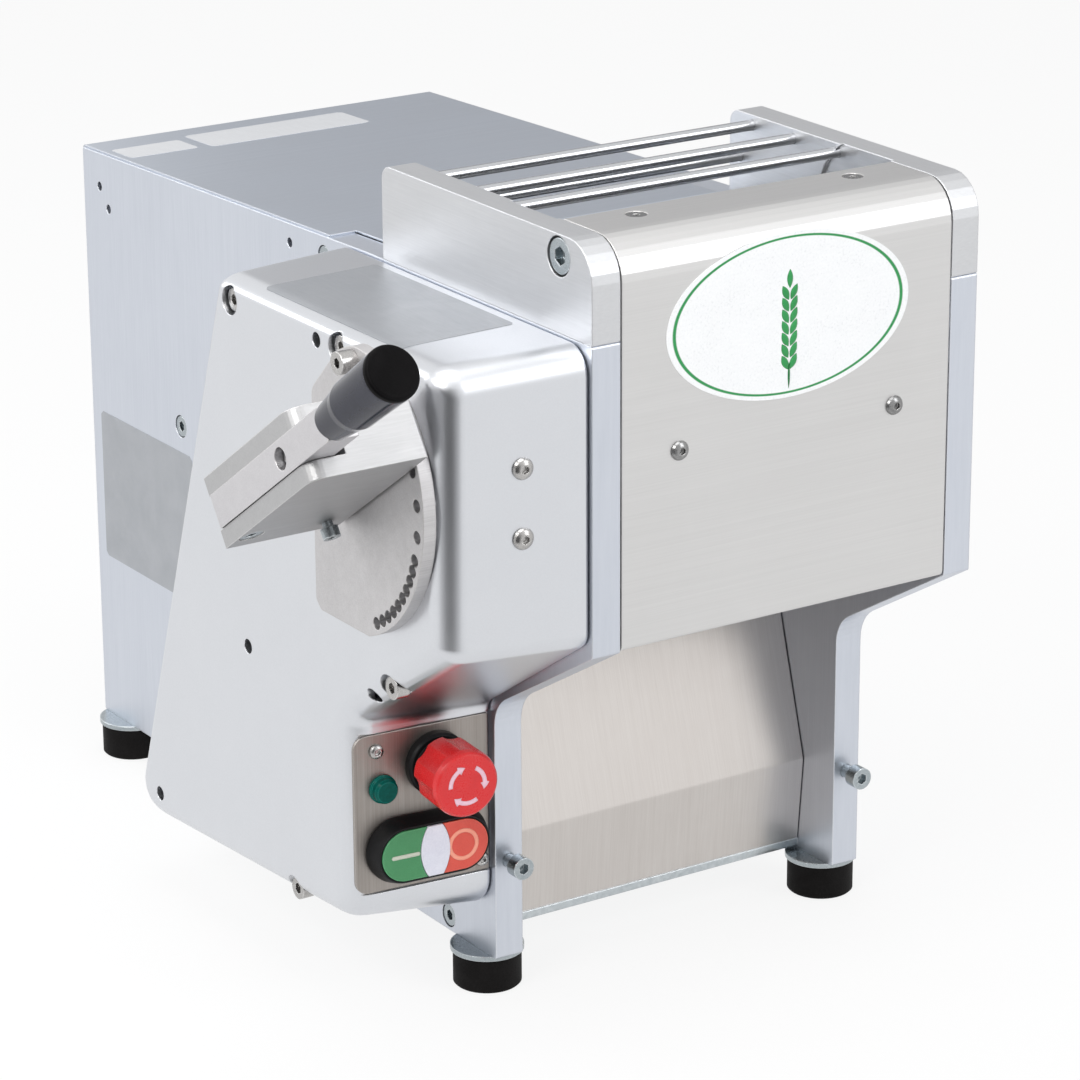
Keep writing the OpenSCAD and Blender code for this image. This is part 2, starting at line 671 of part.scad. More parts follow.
module top_cover() color([0.68, 0.72, 0.76]) {
    lip = [[table_y, plate_top - table_lip, 0], [table_y, plate_top + sheet_t, 2.5],
        [fall_y, plate_top + sheet_t, 0], [step_y + 4, top_z(step_y + 4) + sheet_t, 0]];
    yz(x_in + 1, inner_w - 2) bent([for (i = [3:-1:0]) lip[i]], sheet_t, 3);
    tail = [[step_y, top_z(step_y) + sheet_t, 0], [cover_end + sheet_t, top_z(cover_end) + sheet_t, 2.5],
        [cover_end + sheet_t, top_z(cover_end) - 18, 0]];
    yz(1, wide - 2) bent([for (i = [2:-1:0]) tail[i]], sheet_t, 3);
}

rear_y0 = plate_end - 6;
gland_p = [wide - 60, 78];
slot_n = 9;

module rear_panel() color([0.7, 0.73, 0.76]) difference() {
    translate([x_in, rear_y0, plate_low + 2]) cube([inner_w, sheet_t, top_z(rear_y0) - plate_low - 2.5]);
    for (i = [0:slot_n - 1]) translate([wide / 2 - 45, rear_y0 - 1, 250 + i * 12])
        cube([90, sheet_t + 2, 4]);
    ybar(8.05, rear_y0 - 1, rear_y0 + sheet_t + 1, gland_p[0], gland_p[1]);
}

module cable_gland() color([0.1, 0.1, 0.11]) translate([gland_p[0], rear_y0, gland_p[1]])
    rotate([-90, 0, 0]) difference() {
        union() {
            translate([0, 0, -8]) cylinder(r = 8, h = 12);
            translate([0, 0, -6]) cylinder(r = 12.5, h = 6, $fn = 6);
            translate([0, 0, sheet_t]) cylinder(r = 12.5, h = 6, $fn = 6);
            translate([0, 0, 6]) rotate_extrude() polygon([[0, 0], [10.5, 0], [10.5, 6], [8, 13],
                [7.5, 6 + gland_len], [0, 6 + gland_len]]);
        }
        translate([0, 0, -9]) cylinder(r = 4, h = gland_len + 40);
    }

strip_y = 140;
chute_lean = 0.287;
chute_bend = [129, 84];
chute_top = 292;

module bottom_plate() color([0.72, 0.75, 0.77]) yz(x_in, inner_w)
    bent([[rear_y0, plate_low, 0], [strip_y, plate_low, 2.5], [strip_y, plate_low + 14, 0]], -sheet_t, 3);

earth_p = [x_far - 22, 186];

module earth_terminal() color([0.75, 0.77, 0.78]) difference() {
    union() {
        zbar(4, plate_low - 10, plate_low, earth_p[0], earth_p[1]);
        translate([earth_p[0], earth_p[1], plate_low - 5.4]) cylinder(r = 7.2, h = 5.4, $fn = 6);
    }
    zbar(1.5, plate_low - 11, plate_low - 4, earth_p[0], earth_p[1]);
}

module exit_chute() color([0.76, 0.74, 0.72]) yz(x_in + 0.5, inner_w - 1)
    bent([[strip_y - 6, plate_low + 6, 0], [chute_bend[0], chute_bend[1], 4],
        [chute_bend[0] + chute_lean * (chute_top - chute_bend[1]), chute_top, 0],
        ], -1.2, 3);

// ---------- rollers ----------

rear_journal = 12.5;
gear_seat = 11;

module rear_roller() color([0.86, 0.87, 0.88]) union() {
    xbar(roll_r, x_in + roll_end_gap, x_far - roll_end_gap, [rear_y, roll_z]);
    xbar(rear_journal, -2, wide - 2, [rear_y, roll_z]);
    xbar(gear_seat, gear_x - 8, -1, [rear_y, roll_z]);
    translate([gear_x - 8, rear_y, roll_z]) rotate([0, 90, 0]) cylinder(r = 15, h = 7.7, $fn = 6);
}

module rear_roller_gear() color([0.6, 0.6, 0.62])
    gear(teeth_roll, tip_roll, root_roll, 0, [rear_y, roll_z], gear_seat + 0.02);

module front_roller() color([0.86, 0.87, 0.88]) difference() {
    union() {
        xbar(roll_r, x_in + roll_end_gap, x_far - roll_end_gap, [front_y, roll_z]);
        xbar(hub_r, gear_x - 4, x_in + roll_end_gap + 1, [front_y, roll_z]);
    }
    xbar(roller_bush_r + 0.02, gear_x - 5, x_far, [front_y, roll_z]);
}

roller_bush_r = axle_r + 2.5;
bush_len = 40;

module roller_bushes() color([0.72, 0.55, 0.3])
    for (x = [gear_x - 4, x_far - roll_end_gap - bush_len]) difference() {
        xbar(roller_bush_r, x, x + bush_len, [front_y, roll_z]);
        xbar(axle_r + run_c, x - 1, x + bush_len + 1, [front_y, roll_z]);
    }

module front_roller_gear() color([0.6, 0.6, 0.62])
    gear(teeth_roll, tip_roll, root_roll, 0, [front_y, roll_z], hub_r + 0.02);

module eccentric_axle() color([0.7, 0.71, 0.73]) difference() {
    union() {
        xbar(axle_end_r, fork_x - axle_out, -cover_d + 16, [lever_y, lever_z]);
        xbar(axle_r, -cover_d + 16 - eps, x_far, [front_y, roll_z]);
        xbar(axle_end_r, x_far - eps, wide - 1, [lever_y, lever_z]);
    }
    // Flat for the clamp screw
    on_lever() translate([fork_x - axle_out - 1, -axle_end_r, -axle_end_r - 0.9])
        cube([axle_out - 3, 2 * axle_end_r, 2]);
}

module axle_bushes() color([0.72, 0.55, 0.3]) {
    difference() {
        xbar(bush_r, index_x + 0.5, -cover_d + 14, [lever_y, lever_z]);
        xbar(axle_end_r + run_c, index_x - 1, -cover_d + 15, [lever_y, lever_z]);
    }
    difference() {
        xbar(bush_r, x_far + 0.5, wide, [lever_y, lever_z]);
        xbar(axle_end_r + run_c, x_far - 1, wide + 1, [lever_y, lever_z]);
    }
}

module rear_bearings() color([0.75, 0.76, 0.78]) for (x = [3, wide - 3 - bearing_w]) difference() {
    xbar(bearing_r, x, x + bearing_w, [rear_y, roll_z]);
    xbar(rear_journal + run_c, x - 1, x + bearing_w + 1, [rear_y, roll_z]);
    for (s = [x - 1, x + bearing_w - 1]) difference() {
        xbar(bearing_r - 3, s, s + 2, [rear_y, roll_z]);
        xbar(rear_journal + 2.5, s - 1, s + 3, [rear_y, roll_z]);
    }
}

caps = [[lever_y, lever_z], [rear_y, roll_z]];
cap_r = 29;
cap_screw_r = 24.5;
cap_angles = [90, 210, 330];

module bearing_caps() color([0.84, 0.85, 0.87]) for (c = caps) difference() {
    xbar(cap_r, wide, wide + cap_t, c);
    for (a = cap_angles) {
        p = [c[0] + cap_screw_r * cos(a), c[1] + cap_screw_r * sin(a)];
        xbar(2.2, wide - 1, wide + cap_t + 1, p);
    }
}

module bearing_cap_screws() color([0.72, 0.76, 0.8]) for (c = caps) for (a = cap_angles)
    translate([wide + cap_t, c[0] + cap_screw_r * cos(a), c[1] + cap_screw_r * sin(a)])
        mirror([1, 0, 0]) cap_screw(3.8, 3, 2, 12, 1.5);

// Scraper: a bar whose sharp edge lies just off the roller, in the roller's own (y, z)
scrape_c = 0.35;
blade_dir = -128;

function blade(s) = let (d = [s * cos(blade_dir), sin(blade_dir)],
    t = [-s * sin(blade_dir), cos(blade_dir)],
    tip = d * (roll_r + scrape_c))
    [tip, tip + t * 20 + d * 5, tip + t * 20 + d * 13, tip + t * 8 + d * 13, tip + d * 1.4];

module rear_scraper() color([0.93, 0.93, 0.9])
    translate([x_in, rear_y, roll_z]) rotate([90, 0, 90]) linear_extrude(inner_w) polygon(blade(1));

cheek_t = 2;
cheek_c = 0.4;

module scraper_frame() color([0.93, 0.93, 0.9]) translate([0, front_y, roll_z]) {
    x0 = x_in + cheek_c;
    x1 = x_far - cheek_c;
    translate([x0, 0, 0]) rotate([90, 0, 90]) linear_extrude(x1 - x0) polygon(blade(-1));
    for (x = [x0, x1 - cheek_t]) difference() {
        translate([x, 0, 0]) rotate([90, 0, 90]) linear_extrude(cheek_t)
            polygon(outline([[-24, -24, 6], [-8, -46, 4], [27, -44, 4], [26, 6, 14], [0, 27, 20], [-26, 6, 14]]));
        xbar(x < 50 ? hub_r + cheek_c : axle_r + run_c, x - 1, x + cheek_t + 1, [0, 0]);
    }
}

// ---------- drive ----------

module idler_gear() color([0.6, 0.6, 0.62]) gear(teeth_idler, idler_dist - root_roll - 0.4,
    idler_dist - tip_roll - 0.4, idler_phase, [idler_y, idler_z], 10 + run_c);

module idler_pin() color([0.66, 0.67, 0.7]) difference() {
    union() {
        xbar(10, gear_x - 1.2, 0, [idler_y, idler_z]);
        xbar(16, -gear_gap + 0.6, 0, [idler_y, idler_z]);
        xbar(14, gear_x - 4, gear_x - 0.6, [idler_y, idler_z]);
        xbar(4, -1, plate_t - 5, [idler_y, idler_z]);
    }
    xbar(3.4, gear_x - 5, gear_x - 1, [idler_y, idler_z], $fn = 6);
}

module drive_gear() color([0.6, 0.6, 0.62])
    gear(teeth_roll, tip_roll, root_roll, drive_phase, [drive_y, drive_z], out_r + 0.02);

box_w = 132;
worm_z = drive_z - worm_drop;
motor_x = x_in + 72;

module output_shaft() color([0.7, 0.71, 0.73]) union() {
    xbar(out_r, gear_x - 3, x_in + box_w - 20, [drive_y, drive_z]);
    translate([gear_x - 9, drive_y, drive_z]) rotate([0, 90, 0]) cylinder(r = 13, h = 8.8, $fn = 6);
}

module gearbox() color([0.55, 0.57, 0.6]) difference() {
    union() {
        xbar(46, x_in + 10, x_in + box_w, [drive_y, drive_z]);
        xbar(40, x_in, x_in + 11, [drive_y, drive_z]);
        ybar(34, drive_y - 44, drive_y + 66, motor_x, worm_z);
        translate([motor_x - 34, drive_y - 30, worm_z]) cube([68, 60, worm_drop]);
        translate([motor_x - 45, drive_y + 58, worm_z - 45]) cube([90, 10, 90]);
    }
    xbar(out_r + run_c, x_in - 1, x_in + box_w - 19, [drive_y, drive_z]);
}

motor_y = drive_y + 68;
fin_n = 28;

module motor() color([0.35, 0.4, 0.46]) union() {
    ybar(motor_r - 7, motor_y, motor_y + motor_len, motor_x, worm_z);
    ybar(motor_r, motor_y + 2, motor_y + 14, motor_x, worm_z);
    ybar(motor_r, motor_y + motor_len - 46, motor_y + motor_len, motor_x, worm_z);
    for (i = [0:fin_n - 1]) translate([motor_x, motor_y + 10, worm_z]) rotate([0, i * 360 / fin_n, 0])
        translate([-1.2, 0, 0]) cube([2.4, motor_len - 54, motor_r - 1.5]);
    translate([motor_x - 35, motor_y + 30, worm_z + motor_r - 14]) cube([70, 90, 40]);
    // Feet that stand on the bottom plate
    for (y = [motor_y + 20, motor_y + motor_len - 80]) translate([motor_x - 40, y, plate_low + sheet_t])
        cube([80, 12, worm_z - plate_low - 40]);
}

// Contactor box against the right plate, with a row of terminal slots
box = [72, 120, 90];
box_y = 330;
slot_pitch = 17;
terminal = [10, 11, 22];

module contactor_box() color([0.3, 0.3, 0.32]) translate([x_far - box[0], box_y, plate_low + sheet_t])
    difference() {
        cube(box);
        for (i = [0:5]) translate([-1, terminal[1] + 1 + i * slot_pitch, box[2] - terminal[2] - 8])
            cube(terminal);
    }

// ---------- lever ----------
// In on_lever() the second coordinate runs along the lever, the third across it

bolt_v = fork_w / 2;
pin_head_r = 4.75;
pin_seat_x = bar_x + 9;
pin_head_x = pin_seat_x - 0.75;

module lever_block() color([0.87, 0.88, 0.89]) on_lever() difference() {
    translate([0, 0, -fork_w / 2]) linear_extrude(fork_w)
        polygon(outline([[fork_x, -fork_back, 1], [fork_out, -fork_back, 1.5], [fork_out, fork_len, 9],
            [fork_x, fork_len, 1]]));
    translate([fork_out - 1, -fork_back - 1, -slot_w / 2]) cube([slot_d + 1, fork_len + fork_back + 2, slot_w]);
    translate([fork_x + 1, 0, 0]) rotate([0, -90, 0]) cylinder(r = axle_end_r + 0.02, h = axle_out + 1.2);
    translate([fork_x + 1, index_hole_r, 0]) rotate([0, -90, 0]) cylinder(r = pin_r + run_c, h = fork_h);
    translate([bar_mid, pivot_u, -fork_w]) cylinder(r = pivot_r + 0.02, h = 2 * fork_w);
    translate([bar_mid, pivot_u, -bolt_v - 1]) cylinder(r = 7, h = 6);
    translate([fork_x - 13, 0, -bolt_v - 1]) cylinder(r = 3.02, h = bolt_v + 1);
    translate([slot_x + spring_seat, spring_u, 0]) rotate([0, -90, 0])
        cylinder(r = spring_r + spring_w + 0.5, h = spring_seat + 1);
}

module lever_screws() color([0.55, 0.62, 0.66]) on_lever() {
    // Clamp screw under the block, then the pivot of the lock bar
    translate([fork_x - 13, 0, -bolt_v - 3]) rotate([0, -90, 0])
        cap_screw(5, 6, 3, bolt_v + 3 - axle_end_r + 0.8, 2.6);
    translate([bar_mid, pivot_u, -bolt_v + 5]) rotate([0, -90, 0]) cap_screw(6.6, 4.6, pivot_r, fork_w - 6, 3.2);
}

spring_u = -2.6;
spring_r = 3.4;
spring_w = 0.55;
spring_seat = 3;
spring_turns = 4;

module lock_spring() color([0.6, 0.6, 0.62]) on_lever() {
    n = 8;
    m = spring_turns * 20;
    len = slot_x + spring_seat - bar_x - bar_t;
    ring = [for (i = [0:m]) let (a = i * 18, h = spring_w + (len - 2 * spring_w) * i / m)
        for (k = [0:n - 1]) let (r = spring_r + spring_w * cos(k * 360 / n))
        [bar_x + bar_t + h + spring_w * sin(k * 360 / n), spring_u + r * cos(a), r * sin(a)]];
    sides = [for (i = [0:m - 1]) for (k = [0:n - 1]) let (j = (k + 1) % n, a = i * n)
        each [[a + k, a + n + k, a + j], [a + j, a + n + k, a + n + j]]];
    near = [for (k = [0:n - 1]) k];
    far = [for (k = [n - 1:-1:0]) m * n + k];
    polyhedron(ring, concat([near], sides, [far]), convexity = 8);
}

module lock_bar() color([0.86, 0.86, 0.87]) on_lever() difference() {
    translate([bar_x, -bar_back, -bar_w / 2]) cube([bar_t, bar_len + bar_back, bar_w]);
    translate([bar_mid, pivot_u, -bar_w]) cylinder(r = pivot_r + run_c, h = 2 * bar_w);
    translate([bar_x + bar_t + 1, index_hole_r, 0]) rotate([0, -90, 0]) cylinder(r = pin_r + 1, h = bar_t + 2);
    translate([pin_seat_x, index_hole_r, 0]) rotate([0, -90, 0]) cylinder(r = pin_head_r + 1.4, h = 10);
}

module index_pin() color([0.62, 0.62, 0.64]) on_lever() {
    translate([index_x - 0.3, index_hole_r, 0]) rotate([0, -90, 0])
        cylinder(r = pin_r, h = index_x - pin_head_x + 0.1);
    translate([pin_head_x, index_hole_r, 0]) rotate([0, -90, 0]) cylinder(r = pin_head_r, h = 3.4);
}

module lever_grip() color([0.16, 0.16, 0.18]) on_lever() translate([bar_mid - grip_off, bar_len, 0])
    rotate([-90, 0, 0]) rotate_extrude($fn = 64) polygon([[0, 0], [bar_w / 2 - 0.4, 0], [bar_w / 2 + 1.2, 2],
        [grip_r - 2.2, grip_len * 0.32], [grip_r - 1, grip_len * 0.4], [grip_r, grip_len - 2],
        [grip_r, grip_len], [0, grip_len]]);

module grip_cap() color([0.05, 0.05, 0.06]) on_lever() translate([bar_mid - grip_off, bar_len + grip_len, 0])
    rotate([-90, 0, 0]) rotate_extrude($fn = 64) polygon([[0, 0], [grip_r, 0], [grip_r, 2.2],
        [grip_r - 0.8, 3.6], [grip_r - 2, 4], [0, 4]]);

// ---------- switch panel ----------

module switch_panel() color([0.62, 0.58, 0.55]) on_panel() difference() {
    translate([0, panel_t - 0.6, 0]) rotate([90, 0, 0]) linear_extrude(panel_t)
        polygon(outline([[panel_x, panel_z, 8], [panel_x + panel_w, panel_z, 1],
            [panel_x + panel_w, panel_z + panel_h, 1], [panel_x, panel_z + panel_h, 8]]));
    ybar(11.2, -5, 5, stop_x, stop_z);
    ybar(11.2, -5, 5, twin_x, twin_z);
    ybar(6.2, -5, 5, lamp_x, lamp_z);
    for (p = panel_holes) ybar(2.2, -5, 5, p[0], p[1]);
    for (s = [-1, 1]) ybar(3.8, -5, 5, twin_x + s * stem_off, twin_z);
}

panel_holes = [[panel_x + 14, panel_z + panel_h - 10], [-6.4, panel_z + 7]];
panel_face = -0.6;

module panel_screws() color([0.78, 0.8, 0.82]) on_panel() for (p = panel_holes) difference() {
    union() {
        translate([p[0], panel_face, p[1]]) rotate([90, 0, 0])
            rotate_extrude() polygon([[0, 0], [4.4, 0], [4.4, 0.8], [3.8, 2], [2.4, 2.8], [0, 2.8]]);
        ybar(2, panel_face - eps, 7, p[0], p[1]);
    }
    translate([p[0], panel_face - 1.2, p[1]]) rotate([90, 0, 0]) cylinder(r = 1.9, h = 4, $fn = 6);
}

module pilot_lamp() color([0.0, 0.45, 0.33]) on_panel() {
    translate([lamp_x, panel_face, lamp_z]) rotate([90, 0, 0]) rotate_extrude()
        polygon([[0, 0], [8.3, 0], [8.3, 1.6], [7.4, 2.2], [7.2, 5.6], [6, 7], [0, 7.2]]);
    ybar(6, panel_face - eps, 30, lamp_x, lamp_z);
}

module estop_collar() color([0.06, 0.06, 0.07]) on_panel() difference() {
    translate([stop_x, panel_face, stop_z]) rotate([90, 0, 0]) rotate_extrude()
        polygon([[0, 0], [18.6, 0], [18.6, collar_d - 1.5], [17.4, collar_d], [15, collar_d],
            [15, collar_d + 4.3], [0, collar_d + 4.3]]);
    ybar(stop_stem_r + 0.35, -20, 5, stop_x, stop_z);
}

// The head stands back from the collar by its travel and its skirt covers the collar's nose
head_back = collar_d + stop_travel + 0.6;
skirt_d = 5.4;
head_front = 40.5;
head_len = head_front - head_back;
stem_tip = panel_face - head_back - skirt_d;
flute_n = 6;

module estop_stem() color([0.1, 0.1, 0.11]) on_panel() difference() {
    union() {
        ybar(stop_stem_r, stem_tip, 18, stop_x, stop_z);
        ybar(9, stem_tip, stem_tip + 1, stop_x, stop_z);
    }
    ybar(2, stem_tip - 1, stem_tip + 12, stop_x, stop_z);
}

module estop_head() color([0.82, 0.08, 0.09]) on_panel()
    translate([stop_x, panel_face - head_back, stop_z]) rotate([90, 0, 0]) {
        difference() {
            rotate_extrude($fn = 60) polygon([[0, 0], [stop_r - 1, 0], [stop_r, 1], [stop_r + 0.2, head_len - 4],
                [stop_r - 0.5, head_len - 1.2], [stop_r - 1.8, head_len], [0, head_len]]);
            for (i = [0:flute_n - 1]) rotate([0, 0, (i + 0.3) * 360 / flute_n])
                translate([stop_r + 9.8, 0, -1]) cylinder(r = 12, h = head_len - 4);
            translate([0, 0, -1]) cylinder(r = 15.7, h = skirt_d + 1);
        }
        translate([0, 0, skirt_d - 10]) cylinder(r = 1.7, h = 10 + eps);
    }

half_len = twin_len / 2 - twin_h / 2;
lens_in = 9;
lens_out = 4.6;
lens_r = (twin_h * twin_h / 4 + pow(lens_in - lens_out, 2)) / (2 * (lens_in - lens_out));

// Long round face seen from the front, grown by d
module twin_shape(d) {
    for (s = [-1, 1]) translate([s * half_len, 0]) circle(r = twin_h / 2 + d);
    translate([-half_len, -twin_h / 2 - d]) square([2 * half_len, twin_h + 2 * d]);
}

// The lens between the two buttons, grown by d
module lens_shape(d) intersection() {
    translate([lens_r - lens_in, 0]) circle(r = lens_r + d, $fn = 96);
    translate([lens_in - lens_r, 0]) circle(r = lens_r + d, $fn = 96);
    square([60, twin_h + 2 * d], center = true);
}

// Extrusion in the panel frame from depth d0 outwards to d1
module out_of_panel(d0, d1) translate([twin_x, -d0, twin_z]) rotate([90, 0, 0]) linear_extrude(d1 - d0) children();

module twin_bezel() color([0.06, 0.06, 0.07]) on_panel() difference() {
    translate([twin_x, panel_face, twin_z]) rotate([90, 0, 0]) hull() for (s = [-1, 1])
        translate([s * half_len, 0, 0]) rotate_extrude($fn = 40)
            polygon([[0, 0], [twin_h / 2 + 4.5, 0], [twin_h / 2 + 4.5, 3], [twin_h / 2 + 2, bezel_d - 1],
                [twin_h / 2 + 1.4, bezel_d], [0, bezel_d]]);
    out_of_panel(4, 20) twin_shape(0.4);
    for (s = [-1, 1]) ybar(3.35, -20, 5, twin_x + s * stem_off, twin_z);
}

module push_cap(s) {
    out_of_panel(8, bezel_d + 1.2) intersection() {
        difference() {
            twin_shape(0);
            lens_shape(0.4);
        }
        translate([s > 0 ? 0 : -60, -30]) square([60, 60]);
    }
    ybar(3, -8.5, 7.3, twin_x + s * stem_off, twin_z);
}

module start_button() color([0.2, 0.62, 0.36]) on_panel() push_cap(-1);

module stop_button() color([0.86, 0.2, 0.13]) on_panel() push_cap(1);

module twin_lens() color([0.86, 0.87, 0.9]) on_panel() out_of_panel(4, bezel_d + 1.6) lens_shape(0);

module switch_bodies() color([0.2, 0.2, 0.22]) on_panel() {
    back = panel_t - 0.6;
    difference() {
        union() {
            ybar(11, panel_face, 12, stop_x, stop_z);
            translate([stop_x - 15, 10, stop_z - 15]) cube([30, 40, 30]);
            ybar(14, back, 6, stop_x, stop_z);
        }
        ybar(stop_stem_r + 0.35, -2, 26, stop_x, stop_z);
    }
    ybar(11, back - 2, 12, twin_x, twin_z);
    ybar(14, back, 6, twin_x, twin_z);
    translate([twin_x - 22, 10, twin_z - 15]) cube([44, 40, 30]);
}

// ---------- feet ----------

module at_feet() for (x = [foot_x, wide - foot_x]) for (y = foot_ys) translate([x, y, 0]) children();

module foot_pads() color([0.12, 0.11, 0.11]) at_feet() rotate_extrude($fn = 64)
    polygon([[0, 0], [foot_r - 1, 0], [foot_r, 1], [foot_r, foot_h], [0, foot_h]]);

module foot_washers() color([0.7, 0.76, 0.8]) at_feet() union() {
    translate([0, 0, foot_h]) cylinder(r = washer_r, h = washer_t, $fn = 64);
    translate([0, 0, foot_h + washer_t - eps]) cylinder(r = 4, h = 20);
}

placed() side_plate_left();
placed() side_plate_right();
placed() tie_bars();
placed() tie_screws();
placed() gear_cover();
placed() gear_cover_screws();
placed() index_plate();
placed() index_plate_screws();
placed() guard_plate_left();
placed() guard_plate_right();
placed() guard_rods();
placed() guard_screws();
placed() front_cover();
placed() cover_crossbars();
placed() front_cover_screws();
placed() top_cover();
placed() rear_panel();
placed() cable_gland();
placed() bottom_plate();
placed() earth_terminal();
placed() exit_chute();
placed() rear_scraper();
placed() rear_bearings();
placed() axle_bushes();
placed() bearing_caps();
placed() bearing_cap_screws();
placed() rear_roller();
placed() rear_roller_gear();
placed() front_roller();
placed() front_roller_gear();
placed() roller_bushes();
placed() scraper_frame();
placed() idler_gear();
placed() idler_pin();
placed() drive_gear();
placed() output_shaft();
placed() gearbox();
placed() motor();
placed() contactor_box();
placed() eccentric_axle();
placed() lever_block();
placed() lever_screws();
placed() lock_spring();
placed() lock_bar();
placed() lever_grip();
placed() grip_cap();
placed() index_pin();
placed() switch_panel();
placed() panel_screws();
placed() pilot_lamp();
placed() estop_collar();
placed() estop_stem();
placed() estop_head();
placed() twin_bezel();
placed() start_button();
placed() stop_button();
placed() twin_lens();
placed() switch_bodies();
placed() foot_pads();
placed() foot_washers();
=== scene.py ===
import math

import bmesh
import bpy
import numpy as np
from mathutils import Matrix, Vector


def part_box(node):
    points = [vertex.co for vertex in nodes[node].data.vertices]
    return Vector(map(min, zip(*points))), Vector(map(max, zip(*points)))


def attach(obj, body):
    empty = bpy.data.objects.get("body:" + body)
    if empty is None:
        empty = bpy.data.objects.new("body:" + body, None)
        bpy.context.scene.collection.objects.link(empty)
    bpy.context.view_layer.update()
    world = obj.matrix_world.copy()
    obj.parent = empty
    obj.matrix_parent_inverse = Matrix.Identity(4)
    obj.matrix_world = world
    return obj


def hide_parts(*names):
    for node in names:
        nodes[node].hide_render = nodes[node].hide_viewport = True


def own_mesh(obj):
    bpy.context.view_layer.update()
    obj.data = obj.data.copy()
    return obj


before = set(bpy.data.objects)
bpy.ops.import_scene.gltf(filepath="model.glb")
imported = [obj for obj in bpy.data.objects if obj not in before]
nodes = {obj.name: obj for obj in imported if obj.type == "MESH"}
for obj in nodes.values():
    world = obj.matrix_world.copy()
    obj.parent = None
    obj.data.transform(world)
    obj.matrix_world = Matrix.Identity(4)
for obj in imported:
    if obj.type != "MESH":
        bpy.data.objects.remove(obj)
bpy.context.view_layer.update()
mm = 0.001

# camera and light

plateLow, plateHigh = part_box("side_plate_left")


def place(x, y, z):
    # millimetres from the left plate's outer face, the plates' front edge and the table
    return Vector((plateLow.x + x * mm, plateLow.y + y * mm, z * mm))


def places(x, y, z):
    # the same for whole arrays
    return np.stack([plateLow.x + x * mm, plateLow.y + y * mm, z * mm + 0 * x], axis=-1)


view = {"place": (-1.2600, -2.0674, 1.0649), "azimuth": -33.165, "elevation": 19.157, "roll": -0.317,
        "lens": 144.32, "sensor": 36, "sees": 60}


def makeCamera():
    # the back vector points from the object to the camera; right and up follow from it
    turn = math.radians(view["azimuth"])
    lift = math.radians(view["elevation"])
    roll = math.radians(view["roll"])
    back = Vector((math.sin(turn) * math.cos(lift), -math.cos(turn) * math.cos(lift), math.sin(lift)))
    level = (-back).cross(Vector((0, 0, 1))).normalized()
    upright = level.cross(-back)
    right = level * math.cos(roll) + upright * math.sin(roll)
    up = upright * math.cos(roll) - level * math.sin(roll)
    cameraData = bpy.data.cameras.new("productCamera")
    cameraData.lens = view["lens"]
    cameraData.sensor_width = view["sensor"]
    cameraData.clip_end = view["sees"]
    camera = bpy.data.objects.new("productCamera", cameraData)
    camera.matrix_world = Matrix.Translation(view["place"]) @ Matrix((right, up, back)).transposed().to_4x4()
    bpy.context.scene.collection.objects.link(camera)
    bpy.context.scene.camera = camera


makeCamera()
bpy.context.scene.view_settings.view_transform = "Standard"

lamps = {
    "keySoftbox": {"place": (-2.3, -1.1, 2.1), "size": (1.5, 1.3), "watts": 42, "tint": (1.0, 0.99, 0.97)},
    "frontSoftbox": {"place": (1.5, -2.4, 1.7), "size": (1.2, 1.5), "watts": 22, "tint": (0.97, 0.98, 1.0)},
    "topSoftbox": {"place": (-0.2, -0.5, 2.6), "size": (1.4, 1.4), "watts": 20, "tint": (1.0, 1.0, 1.0)},
    "backSoftbox": {"place": (-1.6, 2.0, 1.6), "size": (1.4, 1.2), "watts": 16, "tint": (0.97, 0.98, 1.0)},
}
aim = Vector((0, 0, 0.22))

for lampName, lamp in lamps.items():
    lampData = bpy.data.lights.new(lampName, "AREA")
    lampData.shape = "RECTANGLE"
    lampData.size, lampData.size_y = lamp["size"]
    lampData.energy = lamp["watts"]
    lampData.color = lamp["tint"]
    lampObject = bpy.data.objects.new(lampName, lampData)
    lampObject.location = lamp["place"]
    lampObject.rotation_euler = (aim - Vector(lamp["place"])).to_track_quat("-Z", "Y").to_euler()
    bpy.context.scene.collection.objects.link(lampObject)

print("stage 1: camera and lamps")

# node helpers


def addNode(tree, kind, values=None, **settings):
    # a node with its settings; each value is either a constant or another node's output
    node = tree.nodes.new(kind)
    for key, setting in settings.items():
        setattr(node, key, setting)
    for key, value in (values or {}).items():
        if isinstance(value, bpy.types.NodeSocket):
            tree.links.new(value, node.inputs[key])
        else:
            node.inputs[key].default_value = value
    return node


def groupNode(tree, group, values=None):
    return addNode(tree, "ShaderNodeGroup", values, node_tree=group)


def math2(tree, operation, first, second=0.0, clamp=False):
    values = {0: first, 1: second}
    return addNode(tree, "ShaderNodeMath", values, operation=operation, use_clamp=clamp).outputs[0]


def vector2(tree, operation, first, second=(0, 0, 0)):
    return addNode(tree, "ShaderNodeVectorMath", {0: first, 1: second}, operation=operation)


def remap(tree, value, low, high, toLow=0.0, toHigh=1.0):
    return addNode(tree, "ShaderNodeMapRange", {"Value": value, "From Min": low, "From Max": high,
                                                "To Min": toLow, "To Max": toHigh}).outputs[0]


def blend(tree, first, second, shares, clamp=False):
    # two values added, each by its share
    return math2(tree, "ADD", math2(tree, "MULTIPLY", first, shares[0]),
                 math2(tree, "MULTIPLY", second, shares[1]), clamp=clamp)


def noise(tree, spot, scale, detail, roughness, distortion=0.0):
    return addNode(tree, "ShaderNodeTexNoise", {"Vector": spot, "Scale": scale, "Detail": detail,
                                                "Roughness": roughness,
                                                "Distortion": distortion}).outputs["Fac"]


